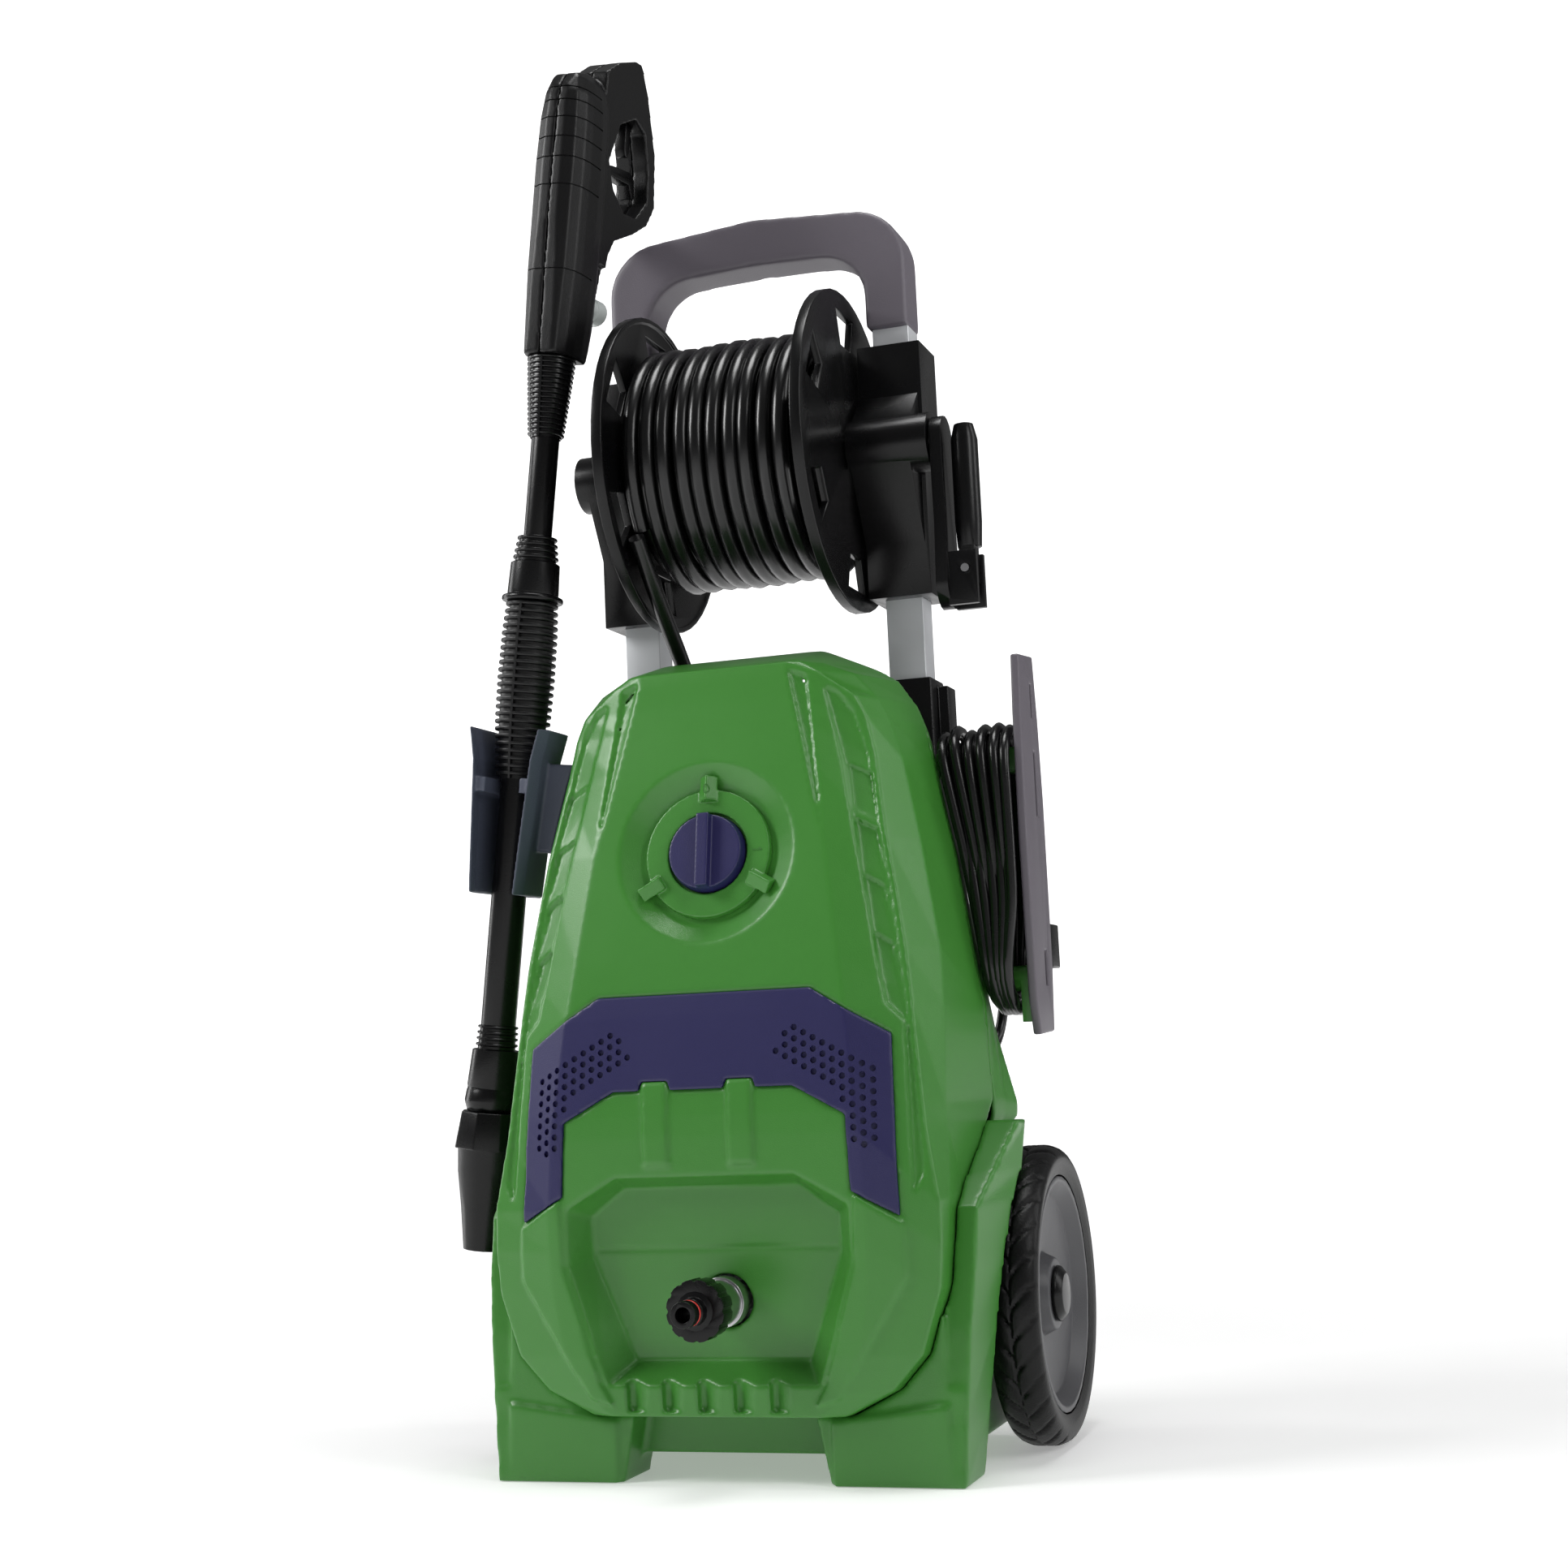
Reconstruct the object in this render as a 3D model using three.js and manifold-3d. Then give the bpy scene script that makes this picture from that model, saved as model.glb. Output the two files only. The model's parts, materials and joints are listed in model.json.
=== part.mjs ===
// Upright electric pressure washer: moulded housing on a wheeled base, hose reel between two
// aluminium posts, push handle, cable hank with its wing plate, and a spray gun in a side holder.
// Millimetres. +X is to the right of someone facing the machine, the front faces -Y, +Z is up.
import * as THREE from 'three';
import { mergeVertices } from 'three/addons/utils/BufferGeometryUtils.js';
import Module from 'manifold-3d';

const wasm = await Module();
wasm.setup();

// ---------------------------------------------------------------- driving dimensions
const GAP = 0.4;                 // clearance left between two pieces that touch
const WALL = 4;                  // housing wall
const SEAM_Y = 120;              // plane where the front and rear covers meet
const REAR_Y = 162;              // back of the rear cover
const BASE_HALF = 160;           // half the width over the two legs
const BASE_BACK = 202;           // back of the base
const INNER_WALL = 150;          // outer face of the base's side walls
const UNDERBAR = { z0: 15, z1: 45, y0: 27.3 };
const WHEEL = { y: 165, z: 101, r: 101, rimR: 80, x0: 160, x1: 195.5 };
const AXLE_R = 6;
const POST = { x0: 88.9, x1: 116.4, y0: 169.4, y1: 195, z0: 120, z1: 799.6, wall: 1.6 };
const SLEEVE_TOP = 537;
const REEL = { y: 140, z: 702, flangeR: 117, faceX: 71, thick: 6, drumR: 66, hubR: 20 };
const HOSE = { r: 5.9, turns: 11, layerR: [72.2, 84.2] };
const CABLE_R = 3.8;
const DIAL = { x: -1, z: 409, dishR: 63, ringR: 45, knobR: 27, tilt: Math.atan(0.2) };
const INLET = { x: 5, z: 115.5 };
const HANDLE = { out: 117, in: 85.5, z0: 800, z1: 897, y0: 164, y1: 200 };
const LANCE = { tip: [-203, 70, 145], lean: Math.atan(0.1231), tubeR: 12.5, upperR: 10.2, handleTurn: 5 };

// ---------------------------------------------------------------- colours
const paint = (hex, roughness, metalness = 0) =>
  new THREE.MeshStandardMaterial({ color: hex, roughness, metalness });
const green = () => paint(0x5ca048, 0.42);
const purple = () => paint(0x302e5f, 0.45);
const black = () => paint(0x141415, 0.5);
const grey = () => paint(0x6a656c, 0.5);
const slate = () => paint(0x464b58, 0.5);
const rubber = () => paint(0x0e0e0f, 0.8);
const aluminium = () => paint(0xc9cbcd, 0.35, 0.9);
const steel = () => paint(0x9a9c9e, 0.35, 0.9);
const brass = () => paint(0xb08d48, 0.35, 0.9);

// ---------------------------------------------------------------- solids
function flat(geometry) {
  const plain = geometry.clone();
  for (const name of Object.keys(plain.attributes)) {
    if (name !== 'position') plain.deleteAttribute(name);
  }
  return mergeVertices(plain, 1e-3);
}

// A closed mesh as a solid, turned face-out whichever way its outline was drawn.
function solid(geometry) {
  const merged = flat(geometry);
  const p = merged.attributes.position;
  const at = (i) => new THREE.Vector3().fromBufferAttribute(p, i);
  let faces = [];
  let volume = 0;
  for (let i = 0; i < merged.index.count; i += 3) {
    const [a, b, c] = [0, 1, 2].map((k) => merged.index.getX(i + k));
    if (a === b || b === c || c === a) continue;
    faces.push([a, b, c]);
    volume += at(a).dot(at(b).cross(at(c)));
  }
  if (volume < 0) faces = faces.map(([a, b, c]) => [a, c, b]);
  const mesh = new wasm.Mesh({
    numProp: 3,
    vertProperties: new Float32Array(p.array),
    triVerts: new Uint32Array(faces.flat()),
  });
  return new wasm.Manifold(mesh);
}

function toGeometry(body) {
  const mesh = body.getMesh();
  const geometry = new THREE.BufferGeometry();
  geometry.setAttribute('position', new THREE.BufferAttribute(new Float32Array(mesh.vertProperties), 3));
  geometry.setIndex(new THREE.BufferAttribute(new Uint32Array(mesh.triVerts), 1));
  return geometry;
}

const join = (...parts) => parts.reduce((a, b) => a.add(b));
const cut = (body, ...tools) => tools.reduce((a, b) => a.subtract(b), body);

// An outline of [a, b] pairs drawn out between two planes across the named axis.
function prism(axis, outline, from, to, holes = []) {
  const shape = new THREE.Shape(outline.map(([a, b]) => new THREE.Vector2(a, b)));
  for (const hole of holes) {
    shape.holes.push(new THREE.Path(hole.map(([a, b]) => new THREE.Vector2(a, b))));
  }
  const geometry = new THREE.ExtrudeGeometry(shape, { depth: to - from, bevelEnabled: false });
  const [x, y, z] = [new THREE.Vector3(1, 0, 0), new THREE.Vector3(0, 1, 0), new THREE.Vector3(0, 0, 1)];
  const turn = new THREE.Matrix4();
  if (axis === 'x') turn.makeBasis(y, z, x).setPosition(from, 0, 0);
  if (axis === 'y') turn.makeBasis(x, z, y.negate()).setPosition(0, to, 0);
  if (axis === 'z') turn.setPosition(0, 0, from);
  return solid(geometry.applyMatrix4(turn));
}

function box(x0, x1, y0, y1, z0, z1) {
  const geometry = new THREE.BoxGeometry(x1 - x0, y1 - y0, z1 - z0);
  return solid(geometry.translate((x0 + x1) / 2, (y0 + y1) / 2, (z0 + z1) / 2));
}

// A round bar or cone between two points.
function bar(a, b, ra, rb = ra, sides = 24) {
  const from = new THREE.Vector3(...a);
  const to = new THREE.Vector3(...b);
  const along = to.clone().sub(from);
  const geometry = new THREE.CylinderGeometry(rb, ra, along.length(), sides);
  geometry.translate(0, along.length() / 2, 0);
  geometry.applyQuaternion(new THREE.Quaternion().setFromUnitVectors(
    new THREE.Vector3(0, 1, 0), along.normalize()));
  return solid(geometry.translate(from.x, from.y, from.z));
}

// A turned piece: a closed profile of [radius, along] pairs, spun about an axis through a point.
function turned(axis, profile, centre, sides = 32) {
  const onAxis = profile[0][0] === 0 && profile.at(-1)[0] === 0;
  const closed = onAxis ? profile : [...profile, profile[0]];
  const geometry = new THREE.LatheGeometry(closed.map(([r, h]) => new THREE.Vector2(r, h)), sides);
  if (axis === 'x') geometry.rotateZ(-Math.PI / 2);
  if (axis === 'z') geometry.rotateX(Math.PI / 2);
  return solid(geometry.translate(...centre));
}

// Rings of equal length joined one to the next, with flat ends.
function loft(rings) {
  const n = rings[0].length;
  const points = rings.flat();
  const faces = [];
  for (let k = 0; k + 1 < rings.length; k += 1) {
    for (let i = 0; i < n; i += 1) {
      const [a, b] = [k * n + i, k * n + (i + 1) % n];
      faces.push(a, b, b + n, a, b + n, a + n);
    }
  }
  for (const [first, flip] of [[0, true], [(rings.length - 1) * n, false]]) {
    const ring = rings[first / n];
    const middle = points.length;
    points.push([0, 1, 2].map((c) => ring.reduce((sum, p) => sum + p[c], 0) / n));
    for (let i = 0; i < n; i += 1) {
      const [a, b] = [first + i, first + (i + 1) % n];
      faces.push(middle, flip ? b : a, flip ? a : b);
    }
  }
  const geometry = new THREE.BufferGeometry();
  geometry.setAttribute('position', new THREE.Float32BufferAttribute(points.flat(), 3));
  geometry.setIndex(faces);
  return solid(geometry);
}

// An outline with every edge moved inwards by a distance.
function shrink(outline, d) {
  const n = outline.length;
  const area = outline.reduce((sum, [a, b], i) => {
    const [c, e] = outline[(i + 1) % n];
    return sum + a * e - b * c;
  }, 0);
  const turn = Math.sign(area);
  const edges = outline.map(([a, b], i) => {
    const [c, e] = outline[(i + 1) % n];
    const length = Math.hypot(c - a, e - b);
    const [nx, ny] = [-turn * (e - b) / length, turn * (c - a) / length];
    return [nx, ny, nx * a + ny * b + d];
  });
  return edges.map(([nx, ny, c], i) => {
    const [mx, my, e] = edges[(i + n - 1) % n];
    const det = nx * my - ny * mx;
    return [(c * my - e * ny) / det, (nx * e - mx * c) / det];
  });
}

const mirrored = (outline) => outline.map(([a, b]) => [-a, b]);
const both = (make) => [1, -1].map(make);
const arc = (ca, cb, r, from, to, steps) => Array.from({ length: steps + 1 }, (_, i) => {
  const t = THREE.MathUtils.degToRad(from + (to - from) * i / steps);
  return [ca + r * Math.cos(t), cb + r * Math.sin(t)];
});

// ---------------------------------------------------------------- housing form
// Stations up the housing: z, then the half outline from the front middle to the seam:
// flat half-width and its y, rim x and y, shoulder x and y, side x and its y.
const STATIONS = [
  [44, 70, -12, 86, -6, 88, 4, 88, 40],
  [60, 90, -13, 118, -7, 120, 4, 120, 40],
  [82, 100, -15, 138, -7, 140, 4, 140, 40],
  [122, 106, -16, 151, -6, 153, 6, 153, 40],
  [150, 108, -17, 153.5, -6, 155, 8, 155, 40],
  [177, 108, -17.5, 153.6, -5, 156, 12, 157, 45],
  [222, 106, -16, 146, 0, 152, 30, 161, 100],
  [236, 104, -15, 144.5, 2, 151, 32, 161.5, SEAM_Y],
  [300, 97, -7, 138, 11, 150, 45, 158.5, SEAM_Y],
  [337, 92, 0, 134, 16.6, 148, 52, 153, SEAM_Y],
  [411, 82, 15, 121.6, 28.5, 136, 60, 143, SEAM_Y],
  [466, 71, 26, 112.5, 45, 124, 70, 133, SEAM_Y],
  [495, 64, 32, 106, 48, 115, 73, 127.5, SEAM_Y],
  [510, 60, 35, 99, 47, 108, 70, 122, SEAM_Y],
  [528, 56, 38, 74, 42, 93, 66, 110, SEAM_Y],
  [536, 54, 40, 62, 43, 74, 60, 98, SEAM_Y],
  [552, 50, 100, 58, 101, 61, 104, 63, SEAM_Y],
];

function station(z) {
  const k = Math.max(1, STATIONS.findIndex((row) => row[0] >= z));
  const [low, high] = [STATIONS[k - 1], STATIONS[k]];
  const t = (z - low[0]) / (high[0] - low[0]);
  return low.map((value, i) => value + (high[i] - value) * t);
}

// Depth of the front face at a place on it.
function frontY(x, z) {
  const [, xc, yc, xr, yr, xm, ym] = station(z);
  const a = Math.abs(x);
  if (a <= xc) return yc;
  if (a <= xr) return yc + (yr - yc) * (a - xc) / (xr - xc);
  return yr + (ym - yr) * (a - xr) / (xm - xr);
}

// The housing's front half as a full solid, grown by an amount and carried past its open back.
function frontForm(grow, past = 0) {
  const last = STATIONS.length - 1;
  return loft(STATIONS.map(([z, xc, yc, xr, yr, xm, ym, xs, yb], i) => {
    const half = [[xs + grow, yb + past], [xm + grow, ym - grow * 0.3], [xr + grow * 0.8, yr - grow * 0.8],
      [xc + grow * 0.2, yc - grow]];
    const level = z + (i === 0 ? -grow : 0) + (i === last ? grow : 0);
    return [...half, ...half.map(([x, y]) => [-x, y]).reverse()].map(([x, y]) => [x, y, level]);
  }));
}

// The part of a front-view outline that lies between two depths measured from the housing's skin.
const patch = (outline, outward, inward) =>
  cut(prism('y', outline, -60, 110).intersect(frontForm(outward, 2)), frontForm(-inward, 4));

// A point of the lance's axis, by its distance up from the nozzle's mouth.
const lanceAt = (s) => [LANCE.tip[0] + s * Math.sin(LANCE.lean), LANCE.tip[1],
  LANCE.tip[2] + s * Math.cos(LANCE.lean)];

const dialNormal = [0, -Math.cos(DIAL.tilt), Math.sin(DIAL.tilt)];
const dialPoint = (out) => [DIAL.x, frontY(0, DIAL.z) + dialNormal[1] * out, DIAL.z + dialNormal[2] * out];
const dialBar = (from, to, ra, rb, sides) => bar(dialPoint(from), dialPoint(to), ra, rb, sides);

// ---------------------------------------------------------------- front cover
const BAND = [[-74, 315], [74, 315], [126, 283], [130, 168], [99, 185], [97, 233], [62, 252],
  [37, 252], [35, 258], [17, 258], [15, 252], [-22, 252], [-24, 258], [-42, 258], [-44, 252],
  [-62, 252], [-97, 233], [-99, 185], [-130, 168], [-126, 283]];
const RECESS_FRONT = [[-62, 197], [62, 197], [97, 177], [97, 140], [74, 62], [-74, 62], [-97, 140], [-97, 177]];
const RECESS_BACK = [[-60, 190], [60, 190], [86, 171], [86, 146], [60, 77], [-60, 77], [-86, 146], [-86, 171]];
const STRIP = [[78, 518], [92, 462], [122, 302], [133, 291], [138, 181], [145, 194], [140, 250],
  [134.5, 306], [125, 378], [111, 449], [107, 470], [99, 497], [89, 513]];
const SPINE_GROOVE = [[54, 532], [67, 526], [83, 404]];
const CREASE = [[47, 331], [106, 306], [78, 319]];
const CHEEK = [[102, 183], [131, 165], [132, 132], [84, 56], [70, 52], [78, 66], [100, 140]];
const LOUVRES = 4;
const LOUVRE_TOP = 455;
const LOUVRE_STEP = 38;
const TEETH_X = [-60, -35.5, -11, 13.5, 38];

const inset = ([x, z]) => [x * 1.035, 130 + (z - 130) * 1.035];

function recessForm(grow) {
  const ring = (outline, y) => outline.map(([x, z]) =>
    [x + Math.sign(x) * grow, y, z + (z > 120 ? grow : -grow)]);
  const backY = (z) => 1 + (172 - z) * 0.09 + grow;
  const back = ring(RECESS_BACK, 0).map(([x, , z]) => [x, backY(z), z]);
  return loft([ring(RECESS_FRONT.map(inset), -40), ring(RECESS_FRONT, -17), back]);
}

// One louvre: a sloping pocket, deep at its top edge and shallow at its lower edge.
function louvre(side, k) {
  const top = LOUVRE_TOP - k * LOUVRE_STEP;
  const edge = (z, depth) => {
    const slant = 9;
    const inner = 92 + (462 - z) * 0.172;
    const outer = inner + 17 - k * 1.4;
    return [[inner, z + slant], [outer, z]].map(([x, zz]) => [x, frontY(x, zz) + depth, zz]);
  };
  const [a, b] = edge(top, 5.2);
  const [d, c] = edge(top - LOUVRE_STEP + 5, 2.6);
  const back = [a, b, c, d];
  const front = back.map(([x, y, z]) => [x, y - 20, z]);
  return loft([front, back].map((ring) => ring.map(([x, y, z]) => [side * x, y, z])));
}

function frontCover() {
  const skin = cut(frontForm(0), frontForm(-WALL, 4));
  const dialBoss = dialBar(-22, 6, DIAL.dishR + 5, DIAL.dishR + 5, 40).intersect(frontForm(0));
  const recessBoss = recessForm(WALL).intersect(frontForm(-0.5, -2));
  const ribs = [[-41, -25], [18, 34]].map(([a, b]) =>
    patch([[a, 262], [b, 262], [b + 1, 204], [a + 1, 204]], 2.4, 3));
  const cheeks = both((s) => patch(s > 0 ? CHEEK : mirrored(CHEEK), 2.5, 2));
  const backing = both((s) => patch(s > 0 ? STRIP : mirrored(STRIP), 0, 9));
  const sill = box(-68, 62, -18, -3, 45, 69).intersect(frontForm(-0.5, -2));
  const body = join(skin, dialBoss, recessBoss, sill, ...backing, ...ribs, ...cheeks);
  const bandPocket = patch(BAND, 6, 2.2);
  const strips = both((s) => patch(s > 0 ? STRIP : mirrored(STRIP), 6, 2.2));
  const grooves = both((s) => patch(s > 0 ? SPINE_GROOVE : mirrored(SPINE_GROOVE), 6, 2.6));
  const creases = both((s) => patch(s > 0 ? CREASE : mirrored(CREASE), 6, 2));
  const louvres = both((s) => Array.from({ length: LOUVRES }, (_, k) => louvre(s, k))).flat();
  const wallLines = [[171, 173], [156, 158.5], [148, 151]].map(([z0, z1]) => box(-84, 84, -20, 4.6, z0, z1));
  const sillLine = box(-57, 57, -20, 11, 79, 81);
  const teeth = TEETH_X.map((x) => prism('z', [[x, -24], [x, -7], [x + 4, -7], [x + 15, -13], [x + 15, -24]], 47, 68));
  const hole = bar([INLET.x, -40, INLET.z], [INLET.x, 30, INLET.z], 17, 17, 28);
  const dish = [dialBar(-9, 0.2, 47, DIAL.dishR, 40), dialBar(0.2, 12, DIAL.dishR, DIAL.dishR, 40),
    dialBar(-40, 5, 10, 10, 20)];
  return cut(body, recessForm(0), bandPocket, ...strips, ...grooves, ...creases, ...louvres,
    ...wallLines, sillLine, ...teeth, hole, ...dish);
}

// ---------------------------------------------------------------- rear cover
// Its outline at the seam, bulging over each wheel and sloping down behind the ridge.
function rearForm(grow) {
  const side = [[236, 161.5], [300, 158.5], [337, 153], [411, 143], [466, 133], [495, 127.5], [510, 122],
    [528, 110], [536, 98], [552, 63]];
  const ring = (y, narrow, top, bulge) => {
    const rows = [[207, 156], [226, 161], ...side].map(([z, x]) => {
      const swell = z === 226 || z === 236 ? bulge : 0;
      return [x - narrow + swell, 207 + (z - 207) * (top - 207) / (552 - 207)];
    });
    const half = rows.map(([x, z]) => [x + grow, z + (z > 540 ? grow : 0)]);
    const low = [half[0][0], 207 - grow];
    const right = [low, ...half.slice(1)];
    return [...right, ...right.map(([x, z]) => [-x, z]).reverse()].map(([x, z]) => [x, y, z]);
  };
  return loft([
    ring(SEAM_Y + GAP - (grow < 0 ? 2 : 0), 0, 552, 0),
    ring(134, 0, 540, 4),
    ring(149, 1, 510, 11),
    ring(REAR_Y + grow, 10, 478, 8),
  ]);
}

function rearCover() {
  const vents = Array.from({ length: 7 }, (_, i) => box(-52, 52, REAR_Y - 14, REAR_Y + 6, 262 + i * 16, 268 + i * 16));
  const hookBoss = bar([148, HANK.y, HOOK_Z], [HOOK_X - GAP, HANK.y, HOOK_Z], 9, 9, 20);
  return join(cut(rearForm(0), rearForm(-WALL), ...vents), hookBoss);
}

// ---------------------------------------------------------------- base
// Leg and wheel guard: z, front y, front x, back x, back y.
const GUARD = [
  [0, 0, 160, 160, 50],
  [45, 3, 162.5, 166, 51],
  [97, 8, 166, 173, 52],
  [137, 16, 169, 178, 60],
  [171, 24, 170, 181, 80],
  [190, 50, 175, 183, 101],
  [222, 98, 183, 184, 118],
];

function guard(side) {
  const inner = 146;
  const rings = GUARD.map(([z, y0, xf, xb, yb]) =>
    [[inner, y0], [xf, y0], [xb, yb], [inner, yb]].map(([x, y]) => [side * x, y, z]));
  return loft(rings);
}

function baseChassis() {
  const legs = both((s) => {
    const foot = [[71, 0], [BASE_HALF, 0], [BASE_HALF, 60], [62, 60], [62, 45]].map(([x, z]) => [s * x, z]);
    return join(guard(s), prism('y', foot, 3, 50), prism('y', [[s * 74, 0], [s * 150, 0], [s * 150, 50],
      [s * 74, 40]], 0, 4));
  });
  const panel = box(-INNER_WALL, INNER_WALL, 3, 50, 45, 176);
  const bar0 = box(-75, 75, UNDERBAR.y0, 36, UNDERBAR.z0, UNDERBAR.z1 + 4);
  const tub = cut(box(-INNER_WALL, INNER_WALL, 36, BASE_BACK, UNDERBAR.z0, 205.5),
    box(-INNER_WALL + WALL, INNER_WALL - WALL, 51, BASE_BACK - WALL, UNDERBAR.z0 + WALL, 240));
  const opening = cut(frontForm(0.6, 1), box(-200, 200, -100, 300, 236, 700));
  const windows = [
    box(-120, 120, 20, 60, 60, 240),
    box(-200, 200, -20, 57, 205.5, 240).intersect(box(-149, 149, -20, 300, 100, 300)),
  ];
  const axleHole = bar([-220, WHEEL.y, WHEEL.z], [220, WHEEL.y, WHEEL.z], AXLE_R + 0.5, AXLE_R + 0.5, 20);
  const lanceRoom = bar(lanceAt(40), lanceAt(150), 26, 26, 20);
  const legHollows = both((s) => box(s > 0 ? 80 : -140, s > 0 ? 140 : -80, 6, 46, -1, 40));
  const postRoom = both((s) => box(s > 0 ? POST.x0 - GAP : -POST.x1 - GAP, s > 0 ? POST.x1 + GAP : -POST.x0 + GAP,
    POST.y0 - GAP, POST.y1 + GAP, POST.z0, 300));
  return cut(join(panel, bar0, tub, ...legs), opening, ...windows, axleHole, lanceRoom, ...legHollows, ...postRoom);
}

// ---------------------------------------------------------------- front fittings
const ventBand = () => patch(shrink(BAND, GAP), 1.6, 1.8);

function dialRing() {
  const clip = (deg) => {
    const t = THREE.MathUtils.degToRad(deg);
    const across = [Math.cos(t), Math.sin(t) * Math.sin(DIAL.tilt), Math.sin(t) * Math.cos(DIAL.tilt)];
    const at = (r) => dialPoint(-3.5).map((value, i) => value + across[i] * r);
    return bar(at(36), at(53), 6.5, 6.5, 4);
  };
  const room = join(dialBar(-9 + GAP, 0.2, 47 - GAP, DIAL.dishR - GAP - 0.4, 36), dialBar(0, 12, 60, 60, 36));
  return cut(join(dialBar(-9, -4, DIAL.ringR, DIAL.ringR - 1, 36), ...[90, 210, 330].map(clip)).intersect(room),
    dialBar(-12, 10, DIAL.knobR + 1.2, DIAL.knobR + 1.2, 36));
}

function onOffKnob() {
  const grip = box(-4.5, 4.5, -9, 9, -DIAL.knobR + 2, DIAL.knobR - 2)
    .rotate([THREE.MathUtils.radToDeg(-DIAL.tilt), 0, 0]).translate(dialPoint(-1));
  const disc = dialBar(-8, 1.5, DIAL.knobR, DIAL.knobR - 1.5, 40);
  const shaft = dialBar(-24, -6, 5, 5, 16);
  return join(disc, shaft, grip.subtract(dialBar(-30, -8, 60, 60, 12)));
}

const switchBox = () => cut(dialBar(-62, -25, 24, 24, 4), dialBar(-26, 0, 5.6, 5.6, 16));

const inletPipe = () => join(
  bar([INLET.x, -36, INLET.z], [INLET.x, 46, INLET.z], 10, 10, 24),
  bar([INLET.x, -30, INLET.z], [INLET.x, -8, INLET.z], 14.5, 14.5, 28),
  bar([INLET.x, -8, INLET.z], [INLET.x, 4, INLET.z], 16.4, 16.4, 28),
);

function inletNut() {
  const body = bar([INLET.x, -53, INLET.z], [INLET.x, -36.4, INLET.z], 19.5, 19.5, 24);
  const notches = Array.from({ length: 12 }, (_, i) => {
    const t = i * Math.PI / 6;
    const [x, z] = [INLET.x + 20.5 * Math.cos(t), INLET.z + 20.5 * Math.sin(t)];
    return bar([x, -60, z], [x, -30, z], 2.4, 2.4, 8);
  });
  return cut(body, ...notches, bar([INLET.x, -60, INLET.z], [INLET.x, -30, INLET.z], 10, 10, 20));
}

const inletNipple = () => cut(turned('y', [[5, -74], [8.4, -74], [8.4, -66], [7, -65], [7, -62.5], [8.8, -61.5],
  [8.8, -54], [12.5, -53.4], [12.5, -53.4], [9.4, -53.4], [9.4, -36.6], [5, -36.6]],
[INLET.x, 0, INLET.z], 16));

// ---------------------------------------------------------------- works inside
const motor = () => join(bar([0, 95, 246], [0, 95, 350], 50, 50, 24), bar([0, 95, 350], [0, 95, 364], 42, 42, 24),
  bar([0, 95, 236], [0, 95, 246], 22, 22, 20));
const pumpHead = () => join(box(-46, 46, 62, 128, 150, 200), bar([0, 95, 200], [0, 95, 235.6], 24, 24, 20),
  box(-24, 34, 46.4, 62, 96, 150), box(-24, 34, 62, 100, 110, 150));
const capacitor = () => bar([82, 95, 240], [82, 95, 318], 19, 19, 20);
const outletPipe = () => join(bar([-34, 110, 200.4], [-34, 110, 233], 7, 7, 12),
  bar([-34, 110, 226], [-72, 110, 226], 7, 7, 12), bar([-72, 110, 226], [-72, 110, 420], 7, 7, 12));

// ---------------------------------------------------------------- wheels
const wheelX = (s, a, b) => (s > 0 ? [a, b] : [-b, -a]);

function tyre(s) {
  const [a, b] = wheelX(s, WHEEL.x0, WHEEL.x1);
  const r = WHEEL.r;
  return turned('x', [[WHEEL.rimR, a + 3], [r - 9, a], [r - 2, a + 5], [r, a + 12], [r, b - 12], [r - 2, b - 5],
    [r - 9, b], [WHEEL.rimR, b - 3]], [0, WHEEL.y, WHEEL.z], 40);
}

function rim(s) {
  const r = WHEEL.rimR - GAP;
  const out = (d) => s * (WHEEL.x0 + d);
  return turned('x', [[AXLE_R + GAP, out(2)], [22, out(2)], [24, out(12)], [62, out(17)], [70, out(3)],
    [r, out(3)], [r, out(32.5)], [r - 4, out(32.5)], [67, out(23)], [28, out(18)], [24, out(27)], [AXLE_R + GAP, out(27)]],
  [0, WHEEL.y, WHEEL.z], 36);
}

const hubCap = (s) => turned('x', [[0, s * (WHEEL.x0 + 27.5)], [19, s * (WHEEL.x0 + 27.5)],
  [19, s * (WHEEL.x0 + 30)], [14, s * (WHEEL.x0 + 34)], [0, s * (WHEEL.x0 + 35)]], [0, WHEEL.y, WHEEL.z], 20);
const axle = () => bar([-WHEEL.x0 - 26, WHEEL.y, WHEEL.z], [WHEEL.x0 + 26, WHEEL.y, WHEEL.z], AXLE_R, AXLE_R, 20);

// ---------------------------------------------------------------- posts, handle, reel brackets
const spanX = (s, a, b) => (s > 0 ? [a, b] : [-b, -a]);

function post(s) {
  const [a, b] = spanX(s, POST.x0, POST.x1);
  const w = POST.wall;
  return cut(box(a, b, POST.y0, POST.y1, POST.z0 + GAP, POST.z1),
    box(a + w, b - w, POST.y0 + w, POST.y1 - w, POST.z0 - 1, POST.z1 + 1));
}

const postRoom = (s, z0, z1) => {
  const [a, b] = spanX(s, POST.x0 - GAP, POST.x1 + GAP);
  return box(a, b, POST.y0 - GAP, POST.y1 + GAP, z0, z1);
};

function postSleeve(s) {
  const [a, b] = spanX(s, 85, 121);
  const [c, d] = spanX(s, 112, 129);
  return cut(join(box(a, b, REAR_Y + 2.2, 200, 207, SLEEVE_TOP), box(c, d, 181, 203, 207, SLEEVE_TOP - 5)),
    postRoom(s, 200, 600));
}

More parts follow.
